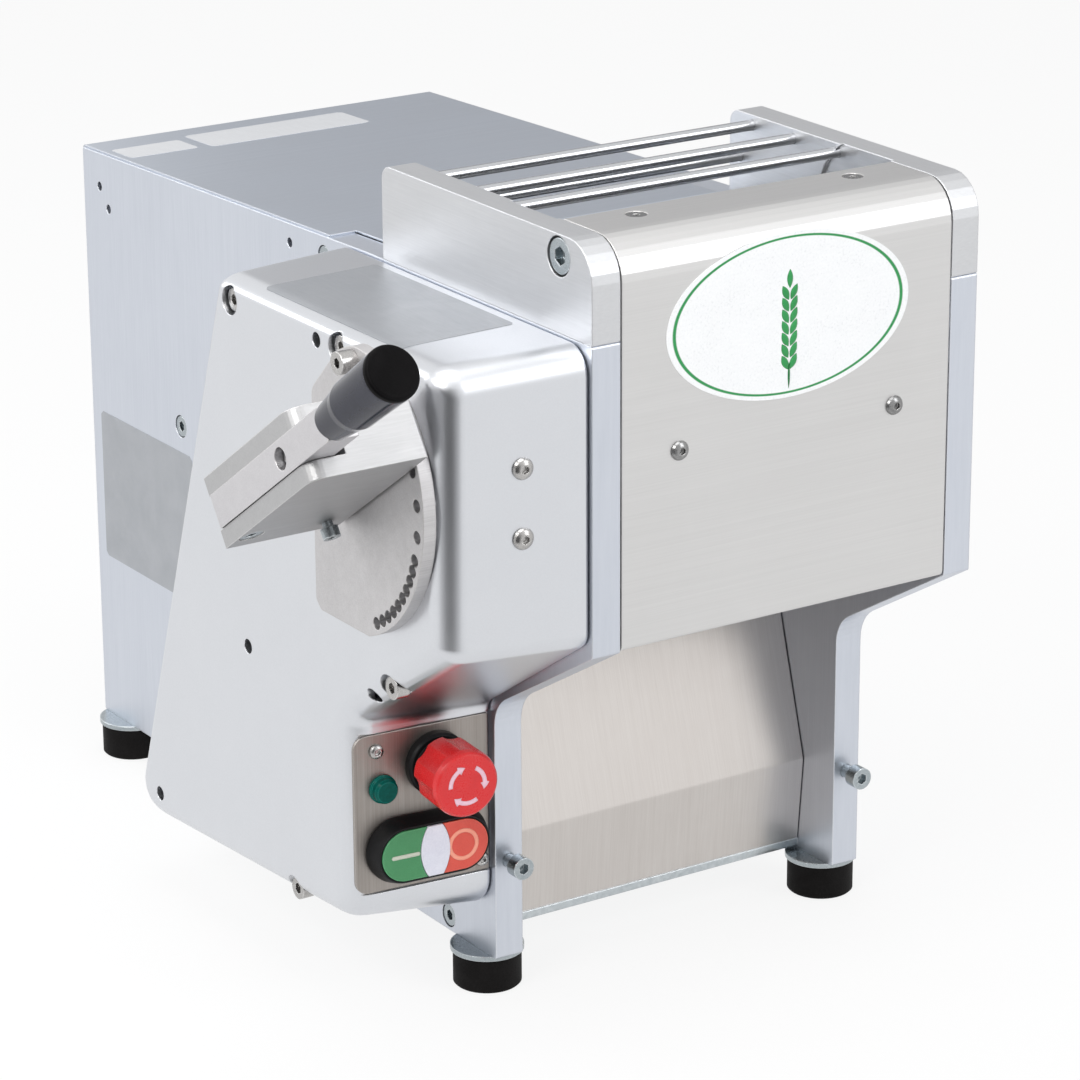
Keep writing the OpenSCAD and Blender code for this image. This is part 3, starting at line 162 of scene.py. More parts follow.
def bumped(tree, height, dent, depth, normal=None):
    # the normal of a surface dented by height, on top of another normal where one is given
    values = {"Height": height, "Strength": dent, "Distance": depth}
    if normal is not None:
        values["Normal"] = normal
    return addNode(tree, "ShaderNodeBump", values).outputs["Normal"]


def colour4(rgb):
    return (rgb[0], rgb[1], rgb[2], 1.0)


def mixColours(tree, factor, first, second):
    node = addNode(tree, "ShaderNodeMix", {"Factor": factor}, data_type="RGBA")
    for socket, value in ((node.inputs[6], first), (node.inputs[7], second)):
        if isinstance(value, bpy.types.NodeSocket):
            tree.links.new(value, socket)
        else:
            socket.default_value = colour4(value)
    return node.outputs[2]


def newGroup(name, takes, gives):
    # a shader node group with named sockets: (name, kind, default)
    group = bpy.data.node_groups.new(name, "ShaderNodeTree")
    for socketName, kind, default in takes:
        socket = group.interface.new_socket(socketName, in_out="INPUT", socket_type=kind)
        if default is not None:
            socket.default_value = default
    for socketName, kind in gives:
        group.interface.new_socket(socketName, in_out="OUTPUT", socket_type=kind)
    return group, group.nodes.new("NodeGroupInput"), group.nodes.new("NodeGroupOutput")


# surface effects; a noise is given as scale, detail and roughness

brushed = {"fine": (1.0, 5.0, 0.65), "broad": (1.0, 3.0, 0.55), "widen": 0.16, "shares": (0.7, 0.3),
           "tone": (0.34, 0.66)}


def brushedGrainGroup():
    # fine parallel scratches: two noises squeezed across the brushing direction, one of them wider
    group, takes, gives = newGroup("brushedGrain", [
        ("Place", "NodeSocketVector", None), ("Squeeze", "NodeSocketVector", (10, 800, 800))],
        [("Height", "NodeSocketFloat"), ("Tone", "NodeSocketFloat")])
    squeezed = vector2(group, "MULTIPLY", takes.outputs["Place"], takes.outputs["Squeeze"]).outputs[0]
    widened = vector2(group, "MULTIPLY", squeezed, (brushed["widen"],) * 3).outputs[0]
    height = blend(group, noise(group, squeezed, *brushed["fine"]), noise(group, widened, *brushed["broad"]),
                   brushed["shares"])
    group.links.new(height, gives.inputs["Height"])
    group.links.new(remap(group, height, *brushed["tone"]), gives.inputs["Tone"])
    return group


speckled = {"grains": (3.0, 0.6), "blotches": (46.0, 4.0, 0.6), "shares": (0.75, 0.25), "tone": (0.36, 0.64)}


def speckleGroup():
    # blasted or cast skin: small round grains, as many per metre as the material says, and larger blotches
    group, takes, gives = newGroup("castSpeckle", [
        ("Place", "NodeSocketVector", None), ("Grains per metre", "NodeSocketFloat", 900.0)],
        [("Height", "NodeSocketFloat"), ("Tone", "NodeSocketFloat")])
    grains = noise(group, takes.outputs["Place"], takes.outputs["Grains per metre"], *speckled["grains"])
    blotches = noise(group, takes.outputs["Place"], *speckled["blotches"])
    height = blend(group, grains, blotches, speckled["shares"])
    group.links.new(height, gives.inputs["Height"])
    group.links.new(remap(group, height, *speckled["tone"]), gives.inputs["Tone"])
    return group


smudged = {"patches": (5.0, 0.62), "distortion": 0.8, "mask": (0.35, 0.68)}


def smudgeGroup():
    # handling and polishing differences over a whole sheet
    group, takes, gives = newGroup("handlingSmudge", [
        ("Place", "NodeSocketVector", None), ("Patches per metre", "NodeSocketFloat", 9.0)],
        [("Mask", "NodeSocketFloat")])
    patches = noise(group, takes.outputs["Place"], takes.outputs["Patches per metre"], *smudged["patches"],
                    smudged["distortion"])
    group.links.new(remap(group, patches, *smudged["mask"]), gives.inputs["Mask"])
    return group


# the last pair sets where the edge mask starts and ends; the mask paints edges lighter, as wear and as a
# painted highlight
softened = {"radius": 0.0011, "samples": 6, "edgeWearAndHighlight": (0.995, 0.86)}


def edgeGroup():
    # worn edges with a painted highlight: where a rounded normal leaves the flat one, a mask that lightens
    # every edge both as wear and as a painted highlight, and that rounded normal itself
    group, _, gives = newGroup("softEdge", [], [
        ("Wear and highlight", "NodeSocketFloat"), ("Normal", "NodeSocketVector")])
    rounded = addNode(group, "ShaderNodeBevel", {"Radius": softened["radius"]},
                      samples=softened["samples"]).outputs[0]
    flat = addNode(group, "ShaderNodeNewGeometry").outputs["True Normal"]
    match = vector2(group, "DOT_PRODUCT", rounded, flat).outputs["Value"]
    group.links.new(remap(group, match, *softened["edgeWearAndHighlight"]), gives.inputs["Wear and highlight"])
    group.links.new(rounded, gives.inputs["Normal"])
    return group


grainGroup = brushedGrainGroup()
castGroup = speckleGroup()
handlingGroup = smudgeGroup()
softEdgeGroup = edgeGroup()


def startMaterial(name):
    material = bpy.data.materials.new(name)
    material.use_nodes = True
    tree = material.node_tree
    shader = tree.nodes["Principled BSDF"]
    spot = tree.nodes.new("ShaderNodeTexCoord").outputs["Object"]
    return material, tree, shader, spot


# metals

metals = {
    # tone: dark and light of the grain; squeeze: features per metre along X, Y and Z; dent: grain height;
    # edge: the lighter colour of every edge, both wear and a painted highlight
    "plateAluminium": {"tone": ((0.58, 0.61, 0.67), (0.64, 0.67, 0.73)), "rough": (0.36, 0.44),
                       "squeeze": (300, 900, 22), "dent": 0.05, "edge": (0.80, 0.82, 0.85)},
    "guardAluminium": {"tone": ((0.59, 0.597, 0.612), (0.655, 0.662, 0.675)), "rough": (0.38, 0.48),
                       "squeeze": (300, 26, 900), "dent": 0.07, "edge": (0.82, 0.83, 0.85)},
    "castAluminium": {"tone": ((0.665, 0.68, 0.71), (0.695, 0.71, 0.74)), "rough": (0.30, 0.36),
                      "speckle": 1100, "dent": 0.02, "edge": (0.78, 0.79, 0.81)},
    "indexAluminium": {"tone": ((0.52, 0.51, 0.515), (0.65, 0.64, 0.645)), "rough": (0.50, 0.62),
                       "squeeze": (24, 1300, 1300), "dent": 0.30, "edge": (0.66, 0.65, 0.63)},
    "leverAluminium": {"tone": ((0.45, 0.45, 0.455), (0.52, 0.52, 0.525)), "rough": (0.44, 0.54),
                       "squeeze": (60, 900, 1100), "dent": 0.05, "edge": (0.80, 0.80, 0.79)},
    "lockBarSteel": {"tone": ((0.58, 0.57, 0.585), (0.67, 0.66, 0.675)), "rough": (0.42, 0.52),
                     "squeeze": (60, 900, 1100), "dent": 0.06, "edge": (0.74, 0.73, 0.72)},
    "coverStainless": {"tone": ((0.625, 0.62, 0.615), (0.68, 0.675, 0.67)), "rough": (0.34, 0.42),
                       "squeeze": (9, 1100, 1300), "dent": 0.05, "edge": (0.74, 0.73, 0.71)},
    "topStainless": {"tone": ((0.535, 0.575, 0.64), (0.575, 0.615, 0.68)), "rough": (0.34, 0.42),
                     "squeeze": (9, 1000, 1000), "dent": 0.04, "edge": (0.62, 0.63, 0.66)},
    "chuteStainless": {"tone": ((0.535, 0.50, 0.475), (0.615, 0.585, 0.56)), "rough": (0.28, 0.38),
                       "squeeze": (1500, 26, 26), "dent": 0.035, "edge": (0.72, 0.69, 0.66)},
    "panelStainless": {"tone": ((0.27, 0.245, 0.225), (0.40, 0.37, 0.345)), "rough": (0.34, 0.46),
                       "squeeze": (1300, 1300, 12), "dent": 0.14, "edge": (0.60, 0.57, 0.54)},
    "galvanisedSheet": {"tone": ((0.42, 0.46, 0.48), (0.60, 0.64, 0.66)), "rough": (0.30, 0.44),
                        "speckle": 260, "dent": 0.08, "edge": (0.74, 0.77, 0.79)},
    "zincSteel": {"tone": ((0.32, 0.36, 0.38), (0.47, 0.51, 0.53)), "rough": (0.22, 0.36),
                  "speckle": 900, "dent": 0.06, "edge": (0.78, 0.82, 0.84)},
    "stainlessScrew": {"tone": ((0.38, 0.37, 0.36), (0.54, 0.53, 0.52)), "rough": (0.20, 0.32),
                       "speckle": 900, "dent": 0.05, "edge": (0.76, 0.75, 0.74)},
    "darkScrew": {"tone": ((0.20, 0.20, 0.20), (0.34, 0.34, 0.34)), "rough": (0.20, 0.32),
                  "speckle": 900, "dent": 0.05, "edge": (0.56, 0.55, 0.54)},
    "polishedRod": {"tone": ((0.50, 0.51, 0.53), (0.62, 0.63, 0.65)), "rough": (0.14, 0.22),
                    "squeeze": (14, 900, 900), "dent": 0.04, "edge": (0.74, 0.75, 0.77)},
    "groundRoller": {"tone": ((0.56, 0.57, 0.58), (0.66, 0.67, 0.68)), "rough": (0.16, 0.26),
                     "squeeze": (900, 16, 16), "dent": 0.04, "edge": (0.74, 0.75, 0.76)},
    "turnedSteel": {"tone": ((0.40, 0.405, 0.41), (0.56, 0.565, 0.57)), "rough": (0.24, 0.36),
                    "squeeze": (1200, 16, 16), "dent": 0.08, "edge": (0.68, 0.69, 0.70)},
    "gearSteel": {"tone": ((0.34, 0.34, 0.34), (0.50, 0.50, 0.49)), "rough": (0.26, 0.40),
                  "squeeze": (26, 700, 700), "dent": 0.10, "edge": (0.66, 0.66, 0.65)},
    "bushBronze": {"tone": ((0.50, 0.32, 0.15), (0.66, 0.45, 0.24)), "rough": (0.28, 0.42),
                   "squeeze": (900, 20, 20), "dent": 0.08, "edge": (0.78, 0.58, 0.34)},
}

# plastics, paint, rubber and print

plastics = {
    # edge: a lighter colour on every edge, both for wear and as a painted highlight
    "blackPlastic": {"tone": ((0.004, 0.004, 0.0045), (0.012, 0.012, 0.013)), "rough": (0.34, 0.50),
                     "speckle": 1500, "dent": 0.12, "edge": (0.034, 0.034, 0.037), "specular": 0.16},
    "capPlastic": {"tone": ((0.002, 0.0018, 0.002), (0.006, 0.0055, 0.006)), "rough": (0.42, 0.54),
                   "speckle": 1300, "dent": 0.12, "edge": (0.020, 0.019, 0.021), "specular": 0.05},
    "gripPlastic": {"tone": ((0.018, 0.019, 0.030), (0.025, 0.027, 0.041)), "rough": (0.10, 0.16),
                    "speckle": 900, "dent": 0.02, "edge": (0.08, 0.08, 0.10), "specular": 0.30},
    "stopRed": {"tone": ((0.60, 0.014, 0.018), (0.70, 0.022, 0.024)), "rough": (0.22, 0.34),
                "speckle": 1300, "dent": 0.06, "edge": (0.76, 0.07, 0.06)},
    "startGreen": {"tone": ((0.040, 0.215, 0.080), (0.062, 0.275, 0.11)), "rough": (0.24, 0.36),
                   "speckle": 1300, "dent": 0.05, "edge": (0.16, 0.55, 0.26)},
    "haltOrange": {"tone": ((0.60, 0.060, 0.040), (0.70, 0.090, 0.060)), "rough": (0.24, 0.36),
                   "speckle": 1300, "dent": 0.05, "edge": (0.90, 0.20, 0.11)},
    "lensWhite": {"tone": ((0.62, 0.63, 0.72), (0.74, 0.75, 0.83)), "rough": (0.16, 0.28),
                  "speckle": 900, "dent": 0.02, "edge": (0.86, 0.86, 0.90)},
    "pilotGreen": {"tone": ((0.000, 0.062, 0.050), (0.001, 0.110, 0.090)), "rough": (0.10, 0.18),
                   "speckle": 500, "dent": 0.03, "edge": (0.03, 0.30, 0.25), "specular": 0.10},
    "footRubber": {"tone": ((0.004, 0.0035, 0.0035), (0.010, 0.009, 0.009)), "rough": (0.58, 0.74),
                   "speckle": 1200, "dent": 0.40, "edge": (0.022, 0.020, 0.019), "specular": 0.10},
    "gearboxPaint": {"tone": ((0.30, 0.315, 0.33), (0.37, 0.385, 0.40)), "rough": (0.40, 0.56),
                     "speckle": 500, "dent": 0.40, "edge": (0.44, 0.45, 0.46)},
    "motorPaint": {"tone": ((0.06, 0.075, 0.095), (0.09, 0.11, 0.135)), "rough": (0.40, 0.56),
                   "speckle": 600, "dent": 0.35, "edge": (0.15, 0.17, 0.19)},
    "boxPlastic": {"tone": ((0.44, 0.44, 0.42), (0.52, 0.52, 0.50)), "rough": (0.42, 0.56),
                   "speckle": 1300, "dent": 0.16, "edge": (0.62, 0.62, 0.60)},
    "printedPink": {"tone": ((0.76, 0.46, 0.56), (0.84, 0.56, 0.66)), "rough": (0.30, 0.42),
                    "speckle": 900, "dent": 0.03, "edge": (0.90, 0.70, 0.68)},
    "printedPale": {"tone": ((0.50, 0.53, 0.44), (0.60, 0.62, 0.53)), "rough": (0.30, 0.42),
                    "speckle": 900, "dent": 0.03, "edge": (0.70, 0.80, 0.66)},
    "printedCoral": {"tone": ((0.86, 0.30, 0.20), (0.90, 0.36, 0.26)), "rough": (0.30, 0.42),
                     "speckle": 900, "dent": 0.03, "edge": (0.92, 0.44, 0.34)},
    "wheatGreen": {"tone": ((0.012, 0.24, 0.052), (0.022, 0.31, 0.078)), "rough": (0.30, 0.42),
                   "speckle": 900, "dent": 0.05, "edge": (0.08, 0.42, 0.15)},
}

skins = {
    # shares of grain and smudge in the tone; how far worn edges with their painted highlight show; smudges
    # per metre; depth of the grain
    "metal": {"shares": (0.65, 0.35), "edgeWearAndHighlight": 0.7, "patches": 9.0, "depth": 0.0005, "metallic": 1.0},
    "plastic": {"shares": (0.5, 0.5), "edgeWearAndHighlight": 0.6, "patches": 34.0, "depth": 0.0004, "metallic": 0.0},
}


def makeFinish(name, look, skin):
    # grain and smudges set colour and roughness together; worn edges take the lighter edge colour, which is
    # also a painted highlight along every edge
    material, tree, shader, spot = startMaterial(name)
    if "squeeze" in look:
        grain = groupNode(tree, grainGroup, {"Place": spot, "Squeeze": look["squeeze"]})
    else:
        grain = groupNode(tree, castGroup, {"Place": spot, "Grains per metre": look["speckle"]})
    smudge = groupNode(tree, handlingGroup, {"Place": spot, "Patches per metre": skin["patches"]})
    edge = groupNode(tree, softEdgeGroup)
    tone = blend(tree, grain.outputs["Tone"], smudge.outputs["Mask"], skin["shares"], clamp=True)
    # painted edge highlight and wear: edges are lightened towards the edge colour
    edgeWearAndHighlight = math2(tree, "MULTIPLY", edge.outputs["Wear and highlight"], skin["edgeWearAndHighlight"])
    base = mixColours(tree, edgeWearAndHighlight, mixColours(tree, tone, *look["tone"]), look["edge"])
    smoothest, roughest = look["rough"]
    normal = bumped(tree, grain.outputs["Height"], look["dent"], skin["depth"], edge.outputs["Normal"])
    tree.links.new(base, shader.inputs["Base Color"])
    tree.links.new(remap(tree, tone, 0.0, 1.0, roughest, smoothest), shader.inputs["Roughness"])
    tree.links.new(normal, shader.inputs["Normal"])
    shader.inputs["Metallic"].default_value = skin["metallic"]
    shader.inputs["Specular IOR Level"].default_value = look.get("specular", 0.5)
    return material


finish = {name: makeFinish(name, look, skins["metal"]) for name, look in metals.items()}
finish.update({name: makeFinish(name, look, skins["plastic"]) for name, look in plastics.items()})
print("stage 2: finishes")

# finishes of the built parts

wears = {
    "plateAluminium": ["side_plate_left", "side_plate_right"],
    "guardAluminium": ["guard_plate_left", "guard_plate_right"],
    "castAluminium": ["gear_cover"],
    "indexAluminium": ["index_plate"],
    "leverAluminium": ["lever_block", "cover_crossbars"],
    "lockBarSteel": ["lock_bar"],
    "coverStainless": ["front_cover"],
    "topStainless": ["top_cover", "rear_panel"],
    "chuteStainless": ["exit_chute", "rear_scraper", "scraper_frame"],
    "panelStainless": ["switch_panel"],
    "galvanisedSheet": ["bottom_plate"],
    "zincSteel": ["tie_screws", "guard_screws", "lever_screws", "foot_washers", "earth_terminal",
                  "bearing_cap_screws", "lock_spring"],
    "stainlessScrew": ["gear_cover_screws", "index_plate_screws", "panel_screws"],
    "darkScrew": ["front_cover_screws"],
    "polishedRod": ["guard_rods"],
    "groundRoller": ["rear_roller", "front_roller"],
    "turnedSteel": ["tie_bars", "rear_bearings", "bearing_caps", "idler_pin", "output_shaft",
                    "eccentric_axle", "index_pin"],
    "gearSteel": ["rear_roller_gear", "front_roller_gear", "idler_gear", "drive_gear"],
    "bushBronze": ["axle_bushes", "roller_bushes"],
    "blackPlastic": ["cable_gland", "estop_collar", "estop_stem", "twin_bezel", "switch_bodies"],
    "capPlastic": ["grip_cap"],
    "gripPlastic": ["lever_grip"],
    "stopRed": ["estop_head"],
    "startGreen": ["start_button"],
    "haltOrange": ["stop_button"],
    "lensWhite": ["twin_lens"],
    "pilotGreen": ["pilot_lamp"],
    "footRubber": ["foot_pads"],
    "gearboxPaint": ["gearbox"],
    "motorPaint": ["motor"],
    "boxPlastic": ["contactor_box"],
}


def dress(piece, material):
    piece.data.materials.clear()
    piece.data.materials.append(material)


for finishName, nodeNames in wears.items():
    for nodeName in nodeNames:
        dress(nodes[nodeName], finish[finishName])
undressed = set(nodes) - {name for names in wears.values() for name in names}
print("stage 3: finishes on the built parts, left over:", sorted(undressed))

# new meshes


def linkMesh(name, points, faces):
    # a new object at the origin, with its place in its mesh
    mesh = bpy.data.meshes.new(name)
    mesh.from_pydata(points, [], faces)
    mesh.update()
    piece = bpy.data.objects.new(name, mesh)
    bpy.context.scene.collection.objects.link(piece)
    return piece


def smooth(mesh, crease):
    # blended normals, except at edges that turn by more than the crease
    mesh.polygons.foreach_set("use_smooth", np.ones(len(mesh.polygons), bool))
    mesh.set_sharp_from_angle(angle=math.radians(crease))


# smooth shells over two faceted built parts, and a coil with a mesh of its own in place of the lock spring

smoothShells = {
    # node: name of the copy, its body, its material slot, and the angle from which an edge stays sharp
    "gear_cover": {"name": "gear_cover_shell", "body": "frame", "slot": "casting", "crease": 34},
    "twin_bezel": {"name": "twin_bezel_shell", "body": "frame", "slot": "black_plastic", "crease": 40},
    # the lock bar presses the coil against its fixed end at +X; keep is the share of length left at the limit
    "lock_spring": {"name": "lock_spring_coil", "body": "lever", "slot": "steel", "crease": 60,
                    "joint": "lock_bar_swing", "keep": 0.83},
}
mergeWithin = 0.02 * mm


def smoothShell(nodeName, look):
    # the node's own faces with doubled points merged; flat faces keep their normals, rounded ones blend
    shell = bmesh.new()
    shell.from_mesh(nodes[nodeName].data)
    shell.transform(nodes[nodeName].matrix_world)
    bmesh.ops.remove_doubles(shell, verts=shell.verts, dist=mergeWithin)
    shell.verts.index_update()
    points = [vertex.co.copy() for vertex in shell.verts]
    corners = [[vertex.index for vertex in face.verts] for face in shell.faces]
    shell.free()
    piece = linkMesh(look["name"], points, corners)
    smooth(piece.data, look["crease"])
    weigh = piece.modifiers.new("flatFirst", "WEIGHTED_NORMAL")
    weigh.keep_sharp = True
    dress(piece, nodes[nodeName].data.materials[0])
    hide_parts(nodeName)
    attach(piece, look["body"])
    return piece


for nodeName, look in smoothShells.items():
    shellPiece = smoothShell(nodeName, look)
    if "joint" in look:
        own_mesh(shellPiece)
print("stage 4: smooth shells and spring coil")

# thin sheets

sheetCrease = 40


def alongAcross(alongSteps, acrossSteps):
    # t runs from 0 to 1 along a shape, s from -1 to 1 across it
    return np.meshgrid(np.linspace(0, 1, alongSteps), np.linspace(-1, 1, acrossSteps), indexing="ij")


def sheetPiece(name, top, lift, material, body, wrap=False):
    # closed thin sheet: a grid of points, and the same grid raised by lift
    # wrap joins the last row of the grid to the first
    rows, columns = top.shape[:2]
    under = top.reshape(-1, 3)
    over = (top + lift).reshape(-1, 3)
    index = np.arange(rows * columns).reshape(rows, columns)
    if wrap:
        index = np.vstack([index, index[:1]])
    a, b, c, d = index[:-1, :-1], index[1:, :-1], index[1:, 1:], index[:-1, 1:]
    upper = np.stack([a, b, c, d], -1).reshape(-1, 4) + rows * columns
    lower = np.stack([a, d, c, b], -1).reshape(-1, 4)

    def skirt(first, second):
        high = rows * columns
        return np.stack([first, second, second + high, first + high], -1)

    sides = [skirt(index[:-1, 0], index[1:, 0])[:, ::-1], skirt(index[:-1, -1], index[1:, -1])]
    if not wrap:
        sides += [skirt(index[0, :-1], index[0, 1:]), skirt(index[-1, :-1], index[-1, 1:])[:, ::-1]]
    piece = linkMesh(name, np.vstack([under, over]).tolist(), np.vstack([upper, lower] + sides).tolist())
    turnOutward(piece.data)
    smooth(piece.data, sheetCrease)
    dress(piece, material)
    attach(piece, body)
    return piece


def turnOutward(mesh):
    # the faces are made to agree, and are all turned round where the closed sheet's volume is negative
    shell = bmesh.new()
    shell.from_mesh(mesh)
    bmesh.ops.recalc_face_normals(shell, faces=shell.faces)
    if shell.calc_volume(signed=True) < 0:
        bmesh.ops.reverse_faces(shell, faces=shell.faces)
    shell.to_mesh(mesh)
    shell.free()


# oval badge on the front cover

badge = {"middle": (128.5, 411.0), "size": (162.0, 93.0), "thick": 0.35, "crown": 0.05, "steps": 60}
badgePrint = {"rim": (0.925, 0.952), "soft": 0.004, "paper": ((0.84, 0.85, 0.86), (0.90, 0.905, 0.91)),
              "line": (0.012, 0.27, 0.066), "speckle": 700.0, "rough": (0.26, 0.36), "dent": 0.04,
              "depth": 0.0003}
coverFace = (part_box("front_cover")[0].y - plateLow.y) / mm
badgeTop = coverFace - badge["thick"] - badge["crown"]


def ovalMaterial():
    # white field with a thin green line inside its edge, both from the distance to the oval's middle
    material, tree, shader, spot = startMaterial("badgePrint")
    centre = place(badge["middle"][0], coverFace, badge["middle"][1])
    half = [side / 2 * mm for side in badge["size"]]
    moved = vector2(tree, "ADD", spot, tuple(-centre)).outputs[0]
    scaled = vector2(tree, "MULTIPLY", moved, (1 / half[0], 0, 1 / half[1])).outputs[0]
    reach = vector2(tree, "LENGTH", scaled).outputs["Value"]
    steps = [remap(tree, reach, rim - badgePrint["soft"], rim + badgePrint["soft"])
             for rim in badgePrint["rim"]]
    line = math2(tree, "SUBTRACT", *steps, clamp=True)
    film = groupNode(tree, castGroup, {"Place": spot, "Grains per metre": badgePrint["speckle"]})
    tone = film.outputs["Tone"]
    printed = mixColours(tree, line, mixColours(tree, tone, *badgePrint["paper"]), badgePrint["line"])
    normal = bumped(tree, film.outputs["Height"], badgePrint["dent"], badgePrint["depth"])
    tree.links.new(printed, shader.inputs["Base Color"])
    tree.links.new(remap(tree, tone, 0.0, 1.0, *badgePrint["rough"]), shader.inputs["Roughness"])
    tree.links.new(normal, shader.inputs["Normal"])
    return material


def badgeSurface():
    # a square grid pressed into an oval: x = u sqrt(1 - v^2/2), z = v sqrt(1 - u^2/2), crowned by 1 - r^2
    run = np.linspace(-1, 1, badge["steps"])
    u, v = np.meshgrid(run, run, indexing="ij")
    across, up = u * np.sqrt(1 - v * v / 2), v * np.sqrt(1 - u * u / 2)
    x = badge["middle"][0] + across * badge["size"][0] / 2
    z = badge["middle"][1] + up * badge["size"][1] / 2
    return places(x, coverFace - badge["crown"] * (1 - across ** 2 - up ** 2), z)


sheetPiece("badge_oval", badgeSurface(), np.array([0, -badge["thick"] * mm, 0]), ovalMaterial(), "frame")

# ear of wheat on the badge

ear = {
    # grain, stalk and tip are width and length; step is the rise from one pair of grains to the next
    "middle": (128.5, 407.0), "grains": 7, "step": 6.536, "low": 26.6, "splay": 27.0, "apart": 0.7,
    "grain": (4.3, 9.2), "stalk": (1.5, 15.0), "overlap": 4.0, "tip": (4.0, 10.5),
    "relief": 0.45, "thick": 0.04, "blunt": 0.012, "taper": 0.8, "grid": (15, 9),
}


def leafGrain(x, z, angle, size):
    # pointed grain: half width w sin(pi t)^taper along its length, lifted by its own roundness
    t, s = alongAcross(*ear["grid"])
    bluntT = np.clip(t, ear["blunt"], 1 - ear["blunt"])
    half = size[0] / 2 * np.sin(np.pi * bluntT) ** ear["taper"]
    along, across = t * size[1], s * half
    c, d = math.cos(angle), math.sin(angle)
    lift = badgeTop - ear["relief"] * np.sqrt(np.clip(1 - s * s, 0, 1)) * np.sin(np.pi * t)
    return places(x + across * c + along * d, lift, z - across * d + along * c)


def wheatEar():
    # pairs of grains up the stalk, one at the tip, and the stalk as a slim tapered leaf
    cx, cz = ear["middle"]
    low = cz - ear["low"]
    parts = [("stalk", cx, low - ear["stalk"][1] + ear["overlap"], 0.0, ear["stalk"])]
    for k in range(ear["grains"]):
        for side, sideName in ((-1, "left"), (1, "right")):
            parts.append((f"{k}_{sideName}", cx + side * ear["apart"], low + k * ear["step"],
                          side * math.radians(ear["splay"]), ear["grain"]))
    parts.append(("tip", cx, low + ear["grains"] * ear["step"], 0.0, ear["tip"]))
    lift = np.array([0, -ear["thick"] * mm, 0])
    for label, x, z, angle, size in parts:
        sheetPiece(f"badge_ear_{label}", leafGrain(x, z, angle, size), lift, finish["wheatGreen"], "frame")


wheatEar()
print("stage 5: badge")

# blank labels

labels = {
    # ranges along the two directions of the face; each is a plain film with nothing printed on it
    "side_label": {"face": "side", "film": "silver", "first": (445, 565), "second": (135, 233)},
    "rear_label_small": {"face": "rear", "film": "pale", "first": (6, 54), "second": (522, 550)},
    "rear_label_long": {"face": "rear", "film": "pale", "first": (62, 178), "second": (519, 557)},
    "casting_label": {"face": "casting", "film": "silver", "first": (-80, -8), "second": (62, 206)},
}
labelFilm = {"thick": 0.12, "corner": 2.5, "steps": 44, "gap": 0.02, "castingGap": 0.05,
             "squeeze": (1600.0, 60.0, 60.0), "patches": 26.0, "shares": (0.5, 0.5),
             "rough": (0.46, 0.34), "dent": 0.05, "depth": 0.0003}
films = {
    "silver": {"tone": ((0.345, 0.36, 0.385), (0.40, 0.415, 0.44)), "metal": 0.55},
    "pale": {"tone": ((0.62, 0.63, 0.65), (0.70, 0.71, 0.73)), "metal": 0.25},
}
casting = {"depth": (plateLow.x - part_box("gear_cover")[0].x) / mm, "top": plateHigh.z / mm - 0.5,
           "draft": 8.0, "edge": 15.0, "leanShare": 0.25, "roundShare": 0.5}
rearDrop = {"start": 231.0, "end": (plateHigh.y - plateLow.y) / mm, "fall": 10.0}
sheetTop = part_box("top_cover")[1].z / mm


def castingTop(x):
    # height of the casting's leaning top with its rounded outer edge
    lean = casting["leanShare"] * casting["draft"] * -x / casting["depth"]
    sine = np.clip(1 - (x + casting["depth"]) / casting["edge"], 0, 1)
    return casting["top"] - lean - casting["roundShare"] * casting["edge"] * (1 - np.sqrt(1 - sine ** 2))


def coverTop(y):
    # height of the top sheet, which falls evenly from start to end
    share = np.clip(y - rearDrop["start"], 0, None) / (rearDrop["end"] - rearDrop["start"])
    return sheetTop - rearDrop["fall"] * share


def roundedGrid(first, second):
    # a rectangle whose ends close in on rounded corners
    corner = labelFilm["corner"]
    run = np.linspace(0, 1, labelFilm["steps"])
    a, b = np.meshgrid(run, run, indexing="ij")
    low1, high1 = first
    low2, high2 = second
    p = low1 + a * (high1 - low1)
    near = np.clip(corner - np.minimum(p - low1, high1 - p), 0, corner)
    pull = corner - np.sqrt(corner ** 2 - near ** 2)
    return p, low2 + pull + b * (high2 - low2 - 2 * pull)


def labelMaterial(name, look):
    # finely brushed film with handling marks
    material, tree, shader, spot = startMaterial(name + "LabelFilm")
    grain = groupNode(tree, grainGroup, {"Place": spot, "Squeeze": labelFilm["squeeze"]})
    smudge = groupNode(tree, handlingGroup, {"Place": spot, "Patches per metre": labelFilm["patches"]})
    tone = blend(tree, grain.outputs["Tone"], smudge.outputs["Mask"], labelFilm["shares"])
    normal = bumped(tree, grain.outputs["Height"], labelFilm["dent"], labelFilm["depth"])
    tree.links.new(mixColours(tree, tone, *look["tone"]), shader.inputs["Base Color"])
    tree.links.new(remap(tree, tone, 0.0, 1.0, *labelFilm["rough"]), shader.inputs["Roughness"])
    tree.links.new(normal, shader.inputs["Normal"])
    shader.inputs["Metallic"].default_value = look["metal"]
    return material


filmMaterials = {name: labelMaterial(name, look) for name, look in films.items()}


def blankLabel(name, look):
    p, q = roundedGrid(look["first"], look["second"])
    thick = labelFilm["thick"] * mm
    if look["face"] == "side":
        points, lift = places(0 * p - labelFilm["gap"], p, q), np.array([-thick, 0, 0])
    elif look["face"] == "rear":
        points, lift = places(p, q, coverTop(q) + labelFilm["gap"]), np.array([0, 0, thick])
    else:
        points, lift = places(p, q, castingTop(p) + labelFilm["castingGap"]), np.array([0, 0, thick])
    return sheetPiece(name, points, lift, filmMaterials[look["film"]], "frame")


for labelName, look in labels.items():
    blankLabel(labelName, look)
print("stage 6: blank labels")

# folded front lip of the bottom plate, under the chute's lower edge

bottomLow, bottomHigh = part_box("bottom_plate")
plateLip = {"inset": 0.6, "height": (25.8, 30.9), "face": 133.9, "thick": 0.6, "roll": 0.5, "grid": (40, 12)}


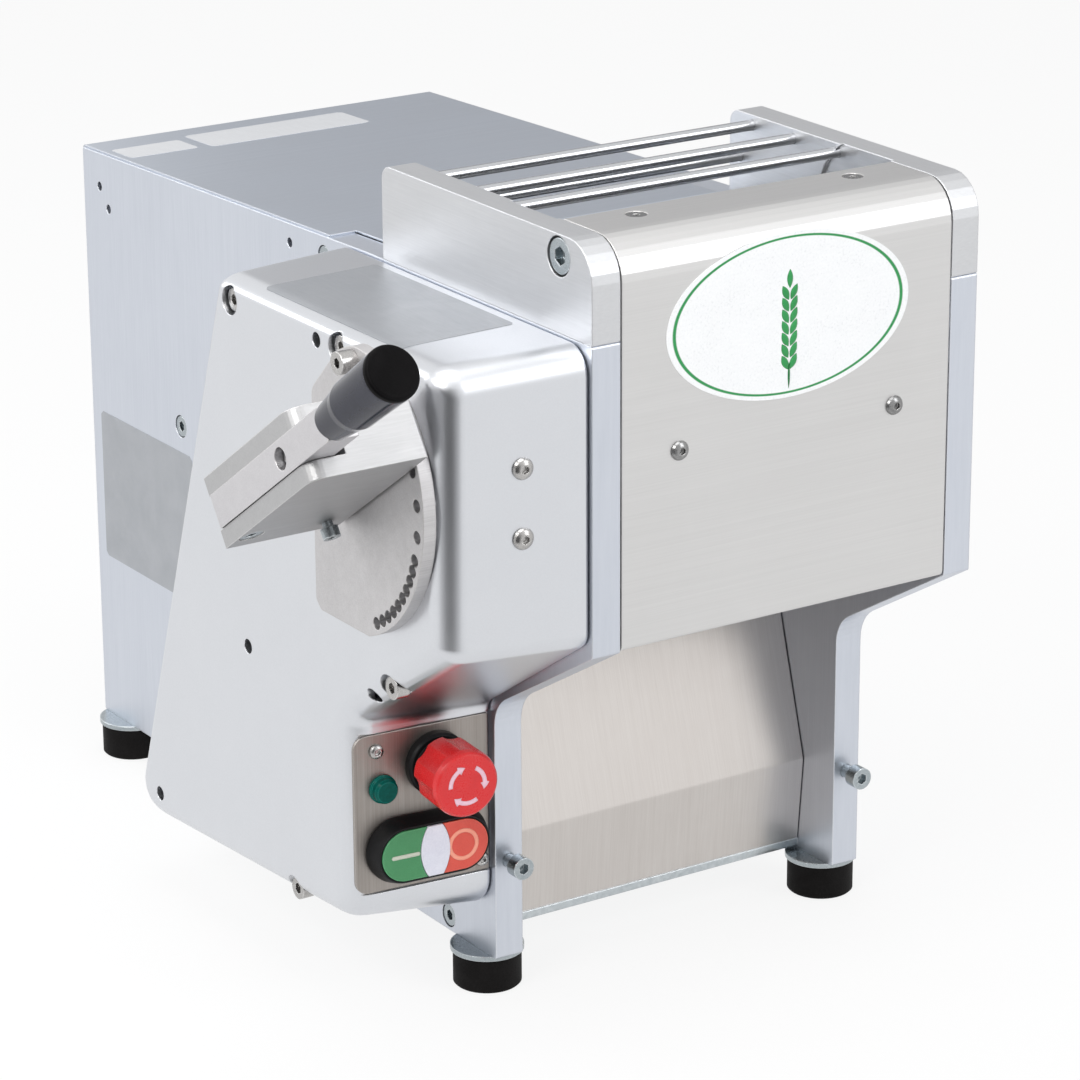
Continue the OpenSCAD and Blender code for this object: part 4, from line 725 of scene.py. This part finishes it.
def lipSurface():
    # a narrow upright strip whose lower edge rolls back: y = face + roll (1 - t)^4 over its height t
    first = (bottomLow.x - plateLow.x) / mm + plateLip["inset"]
    last = (bottomHigh.x - plateLow.x) / mm - plateLip["inset"]
    along, t = np.meshgrid(np.linspace(first, last, plateLip["grid"][0]),
                           np.linspace(0, 1, plateLip["grid"][1]), indexing="ij")
    low, high = plateLip["height"]
    return places(along, plateLip["face"] + plateLip["roll"] * (1 - t) ** 4, low + t * (high - low))


lipPiece = sheetPiece("bottom_plate_lip", lipSurface(), np.array([0, -plateLip["thick"] * mm, 0]),
                      finish["galvanisedSheet"], "frame")
print("stage 7: bottom plate lip")

# marks on the switches

panelFace = 104.0
panelTurn = math.atan(casting["draft"] / casting["depth"])  # the panel leans with the casting's side


def onPanel(x, out, z):
    # a point of the leaning switch panel: x along it, out from it, z up
    c, s = math.cos(panelTurn), math.sin(panelTurn)
    return places(x * c - out * s, -x * s - out * c + panelFace, z)


def panelNormal(length):
    return np.array([-math.sin(panelTurn), -math.cos(panelTurn), 0]) * length * mm


stopMarks = {"middle": (-35.0, 152.0), "out": 41.12, "radius": 10.6, "width": 2.6, "head": 5.6, "point": 0.02,
             "sweep": 84.0, "headSweep": 22.0, "starts": (62.0, -58.0, 182.0), "thick": 0.12,
             "grid": (40, 5)}


def stopArrow(start):
    # a clockwise arc whose half width steps out to the arrow head and then narrows to its tip
    t, s = alongAcross(*stopMarks["grid"])
    headShare = stopMarks["headSweep"] / stopMarks["sweep"]
    shaft = np.full_like(t, stopMarks["width"] / 2)
    head = stopMarks["head"] / 2 * (1 - t) / headShare + stopMarks["point"]
    half = np.where(t < 1 - headShare, shaft, head)
    angle = np.radians(start - stopMarks["sweep"] * t)
    radius = stopMarks["radius"] + s * half
    x = stopMarks["middle"][0] + radius * np.cos(angle)
    z = stopMarks["middle"][1] + radius * np.sin(angle)
    return onPanel(x, stopMarks["out"] + 0 * x, z)


for number, start in enumerate(stopMarks["starts"], 1):
    sheetPiece(f"stop_arrow_{number}", stopArrow(start), panelNormal(stopMarks["thick"]),
               finish["printedPink"], "stop_head")

twinMarks = {
    # bar: from, to and width; ring: place along the panel, radius and width
    "middle": (-41.5, 104.0), "out": 13.21, "bar": (-27.5, -9.5, 2.4), "ring": (17.5, 8.4, 2.4),
    "thick": 0.12, "barGrid": (30, 5), "ringGrid": (72, 4),
}


def startBar():
    # a straight bar with round ends
    first, last, width = twinMarks["bar"]
    t, s = alongAcross(*twinMarks["barGrid"])
    x = first + t * (last - first)
    ends = np.clip(width / 2 - np.minimum(x - first, last - x), 0, width / 2)
    half = np.sqrt(np.clip((width / 2) ** 2 - ends ** 2, 1e-4, None))
    return onPanel(twinMarks["middle"][0] + x, twinMarks["out"] + 0 * x, twinMarks["middle"][1] + s * half)


def haltRing():
    # a flat ring
    offset, radius, width = twinMarks["ring"]
    turns, steps = twinMarks["ringGrid"]
    angle, s = np.meshgrid(np.linspace(0, 2 * np.pi, turns, endpoint=False), np.linspace(-1, 1, steps),
                           indexing="ij")
    reach = radius + s * width / 2
    return onPanel(twinMarks["middle"][0] + offset + reach * np.cos(angle), twinMarks["out"] + 0 * angle,
                   twinMarks["middle"][1] + reach * np.sin(angle))


twinLift = panelNormal(twinMarks["thick"])
sheetPiece("start_mark", startBar(), twinLift, finish["printedPale"], "start_button")
sheetPiece("stop_mark", haltRing(), twinLift, finish["printedCoral"], "stop_button", wrap=True)
print("stage 8: switch marks")

# floor, cards and world

floorLook = {"reach": 9.0, "drop": 0.0004, "glow": 0.86, "grey": 0.86, "rough": 0.9}


def seenByEye(tree):
    # one where the camera looks, directly, in a reflection or through glass
    path = tree.nodes.new("ShaderNodeLightPath")
    direct = math2(tree, "MAXIMUM", path.outputs["Is Camera Ray"], path.outputs["Is Glossy Ray"])
    return math2(tree, "MAXIMUM", direct, path.outputs["Is Transmission Ray"])


def floorMaterial():
    # pale floor that the camera and reflections see near white, with a soft shadow left in it
    material, tree, shader, _ = startMaterial("paleFloor")
    shader.inputs["Base Color"].default_value = colour4((floorLook["grey"],) * 3)
    shader.inputs["Roughness"].default_value = floorLook["rough"]
    glow = addNode(tree, "ShaderNodeEmission", {"Color": (1, 1, 1, 1), "Strength": 1.0})
    share = math2(tree, "MULTIPLY", seenByEye(tree), floorLook["glow"])
    mix = addNode(tree, "ShaderNodeMixShader", {0: share, 1: shader.outputs[0], 2: glow.outputs[0]})
    tree.links.new(mix.outputs[0], tree.nodes["Material Output"].inputs["Surface"])
    return material


def cardMaterial(name, grey):
    material, tree, _, _ = startMaterial(name)
    glow = addNode(tree, "ShaderNodeEmission", {"Color": (grey, grey, grey * 1.02, 1), "Strength": 1.0})
    tree.links.new(glow.outputs[0], tree.nodes["Material Output"].inputs["Surface"])
    return material


def layFloor():
    reach = floorLook["reach"]
    corners = [(x, y, -floorLook["drop"]) for x, y in ((-reach, -reach), (reach, -reach), (reach, reach),
                                                       (-reach, reach))]
    sheet = linkMesh("floor", corners, [(0, 1, 2, 3)])
    dress(sheet, floorMaterial())


layFloor()

cards = {
    # upright cards round the set that only reflections see: azimuth from, to, distance, bottom, top, grey
    "darkCard": {"from": -52, "to": -27, "away": 0.74, "low": 0.002, "high": 0.6, "grey": 0.10},
    "greyCard": {"from": -66, "to": -15, "away": 0.78, "low": 0.002, "high": 0.64, "grey": 0.42},
    "backCard": {"from": 100, "to": 158, "away": 1.9, "low": 0.05, "high": 1.9, "grey": 0.50},
}
cardSteps = 24


def standCard(name, look):
    # part of a cylinder wall round the object
    turns = np.radians(np.linspace(look["from"], look["to"], cardSteps))
    ring = np.stack([np.sin(turns), -np.cos(turns)], -1) * look["away"]
    low = np.column_stack([ring, np.full(cardSteps, look["low"])])
    high = np.column_stack([ring, np.full(cardSteps, look["high"])])
    faces = [(k, k + 1, cardSteps + k + 1, cardSteps + k) for k in range(cardSteps - 1)]
    card = linkMesh(name, np.vstack([low, high]).tolist(), faces)
    dress(card, cardMaterial(name + "Paint", look["grey"]))
    card.visible_camera = False
    card.visible_diffuse = False
    card.visible_shadow = False
    card.visible_transmission = False


for cardName, look in cards.items():
    standCard(cardName, look)


def makeWorld():
    # white for the eye and for reflections, a softer white as light
    world = bpy.data.worlds.new("studio")
    bpy.context.scene.world = world
    world.use_nodes = True
    tree = world.node_tree
    soft = addNode(tree, "ShaderNodeBackground", {"Color": (0.98, 0.99, 1.0, 1), "Strength": 0.55})
    white = addNode(tree, "ShaderNodeBackground", {"Color": (1, 1, 1, 1), "Strength": 1.0})
    mix = addNode(tree, "ShaderNodeMixShader", {0: seenByEye(tree), 1: soft.outputs[0], 2: white.outputs[0]})
    output = tree.nodes.get("World Output") or tree.nodes.new("ShaderNodeOutputWorld")
    tree.links.new(mix.outputs[0], output.inputs["Surface"])


makeWorld()
print("stage 9: floor, cards and world")
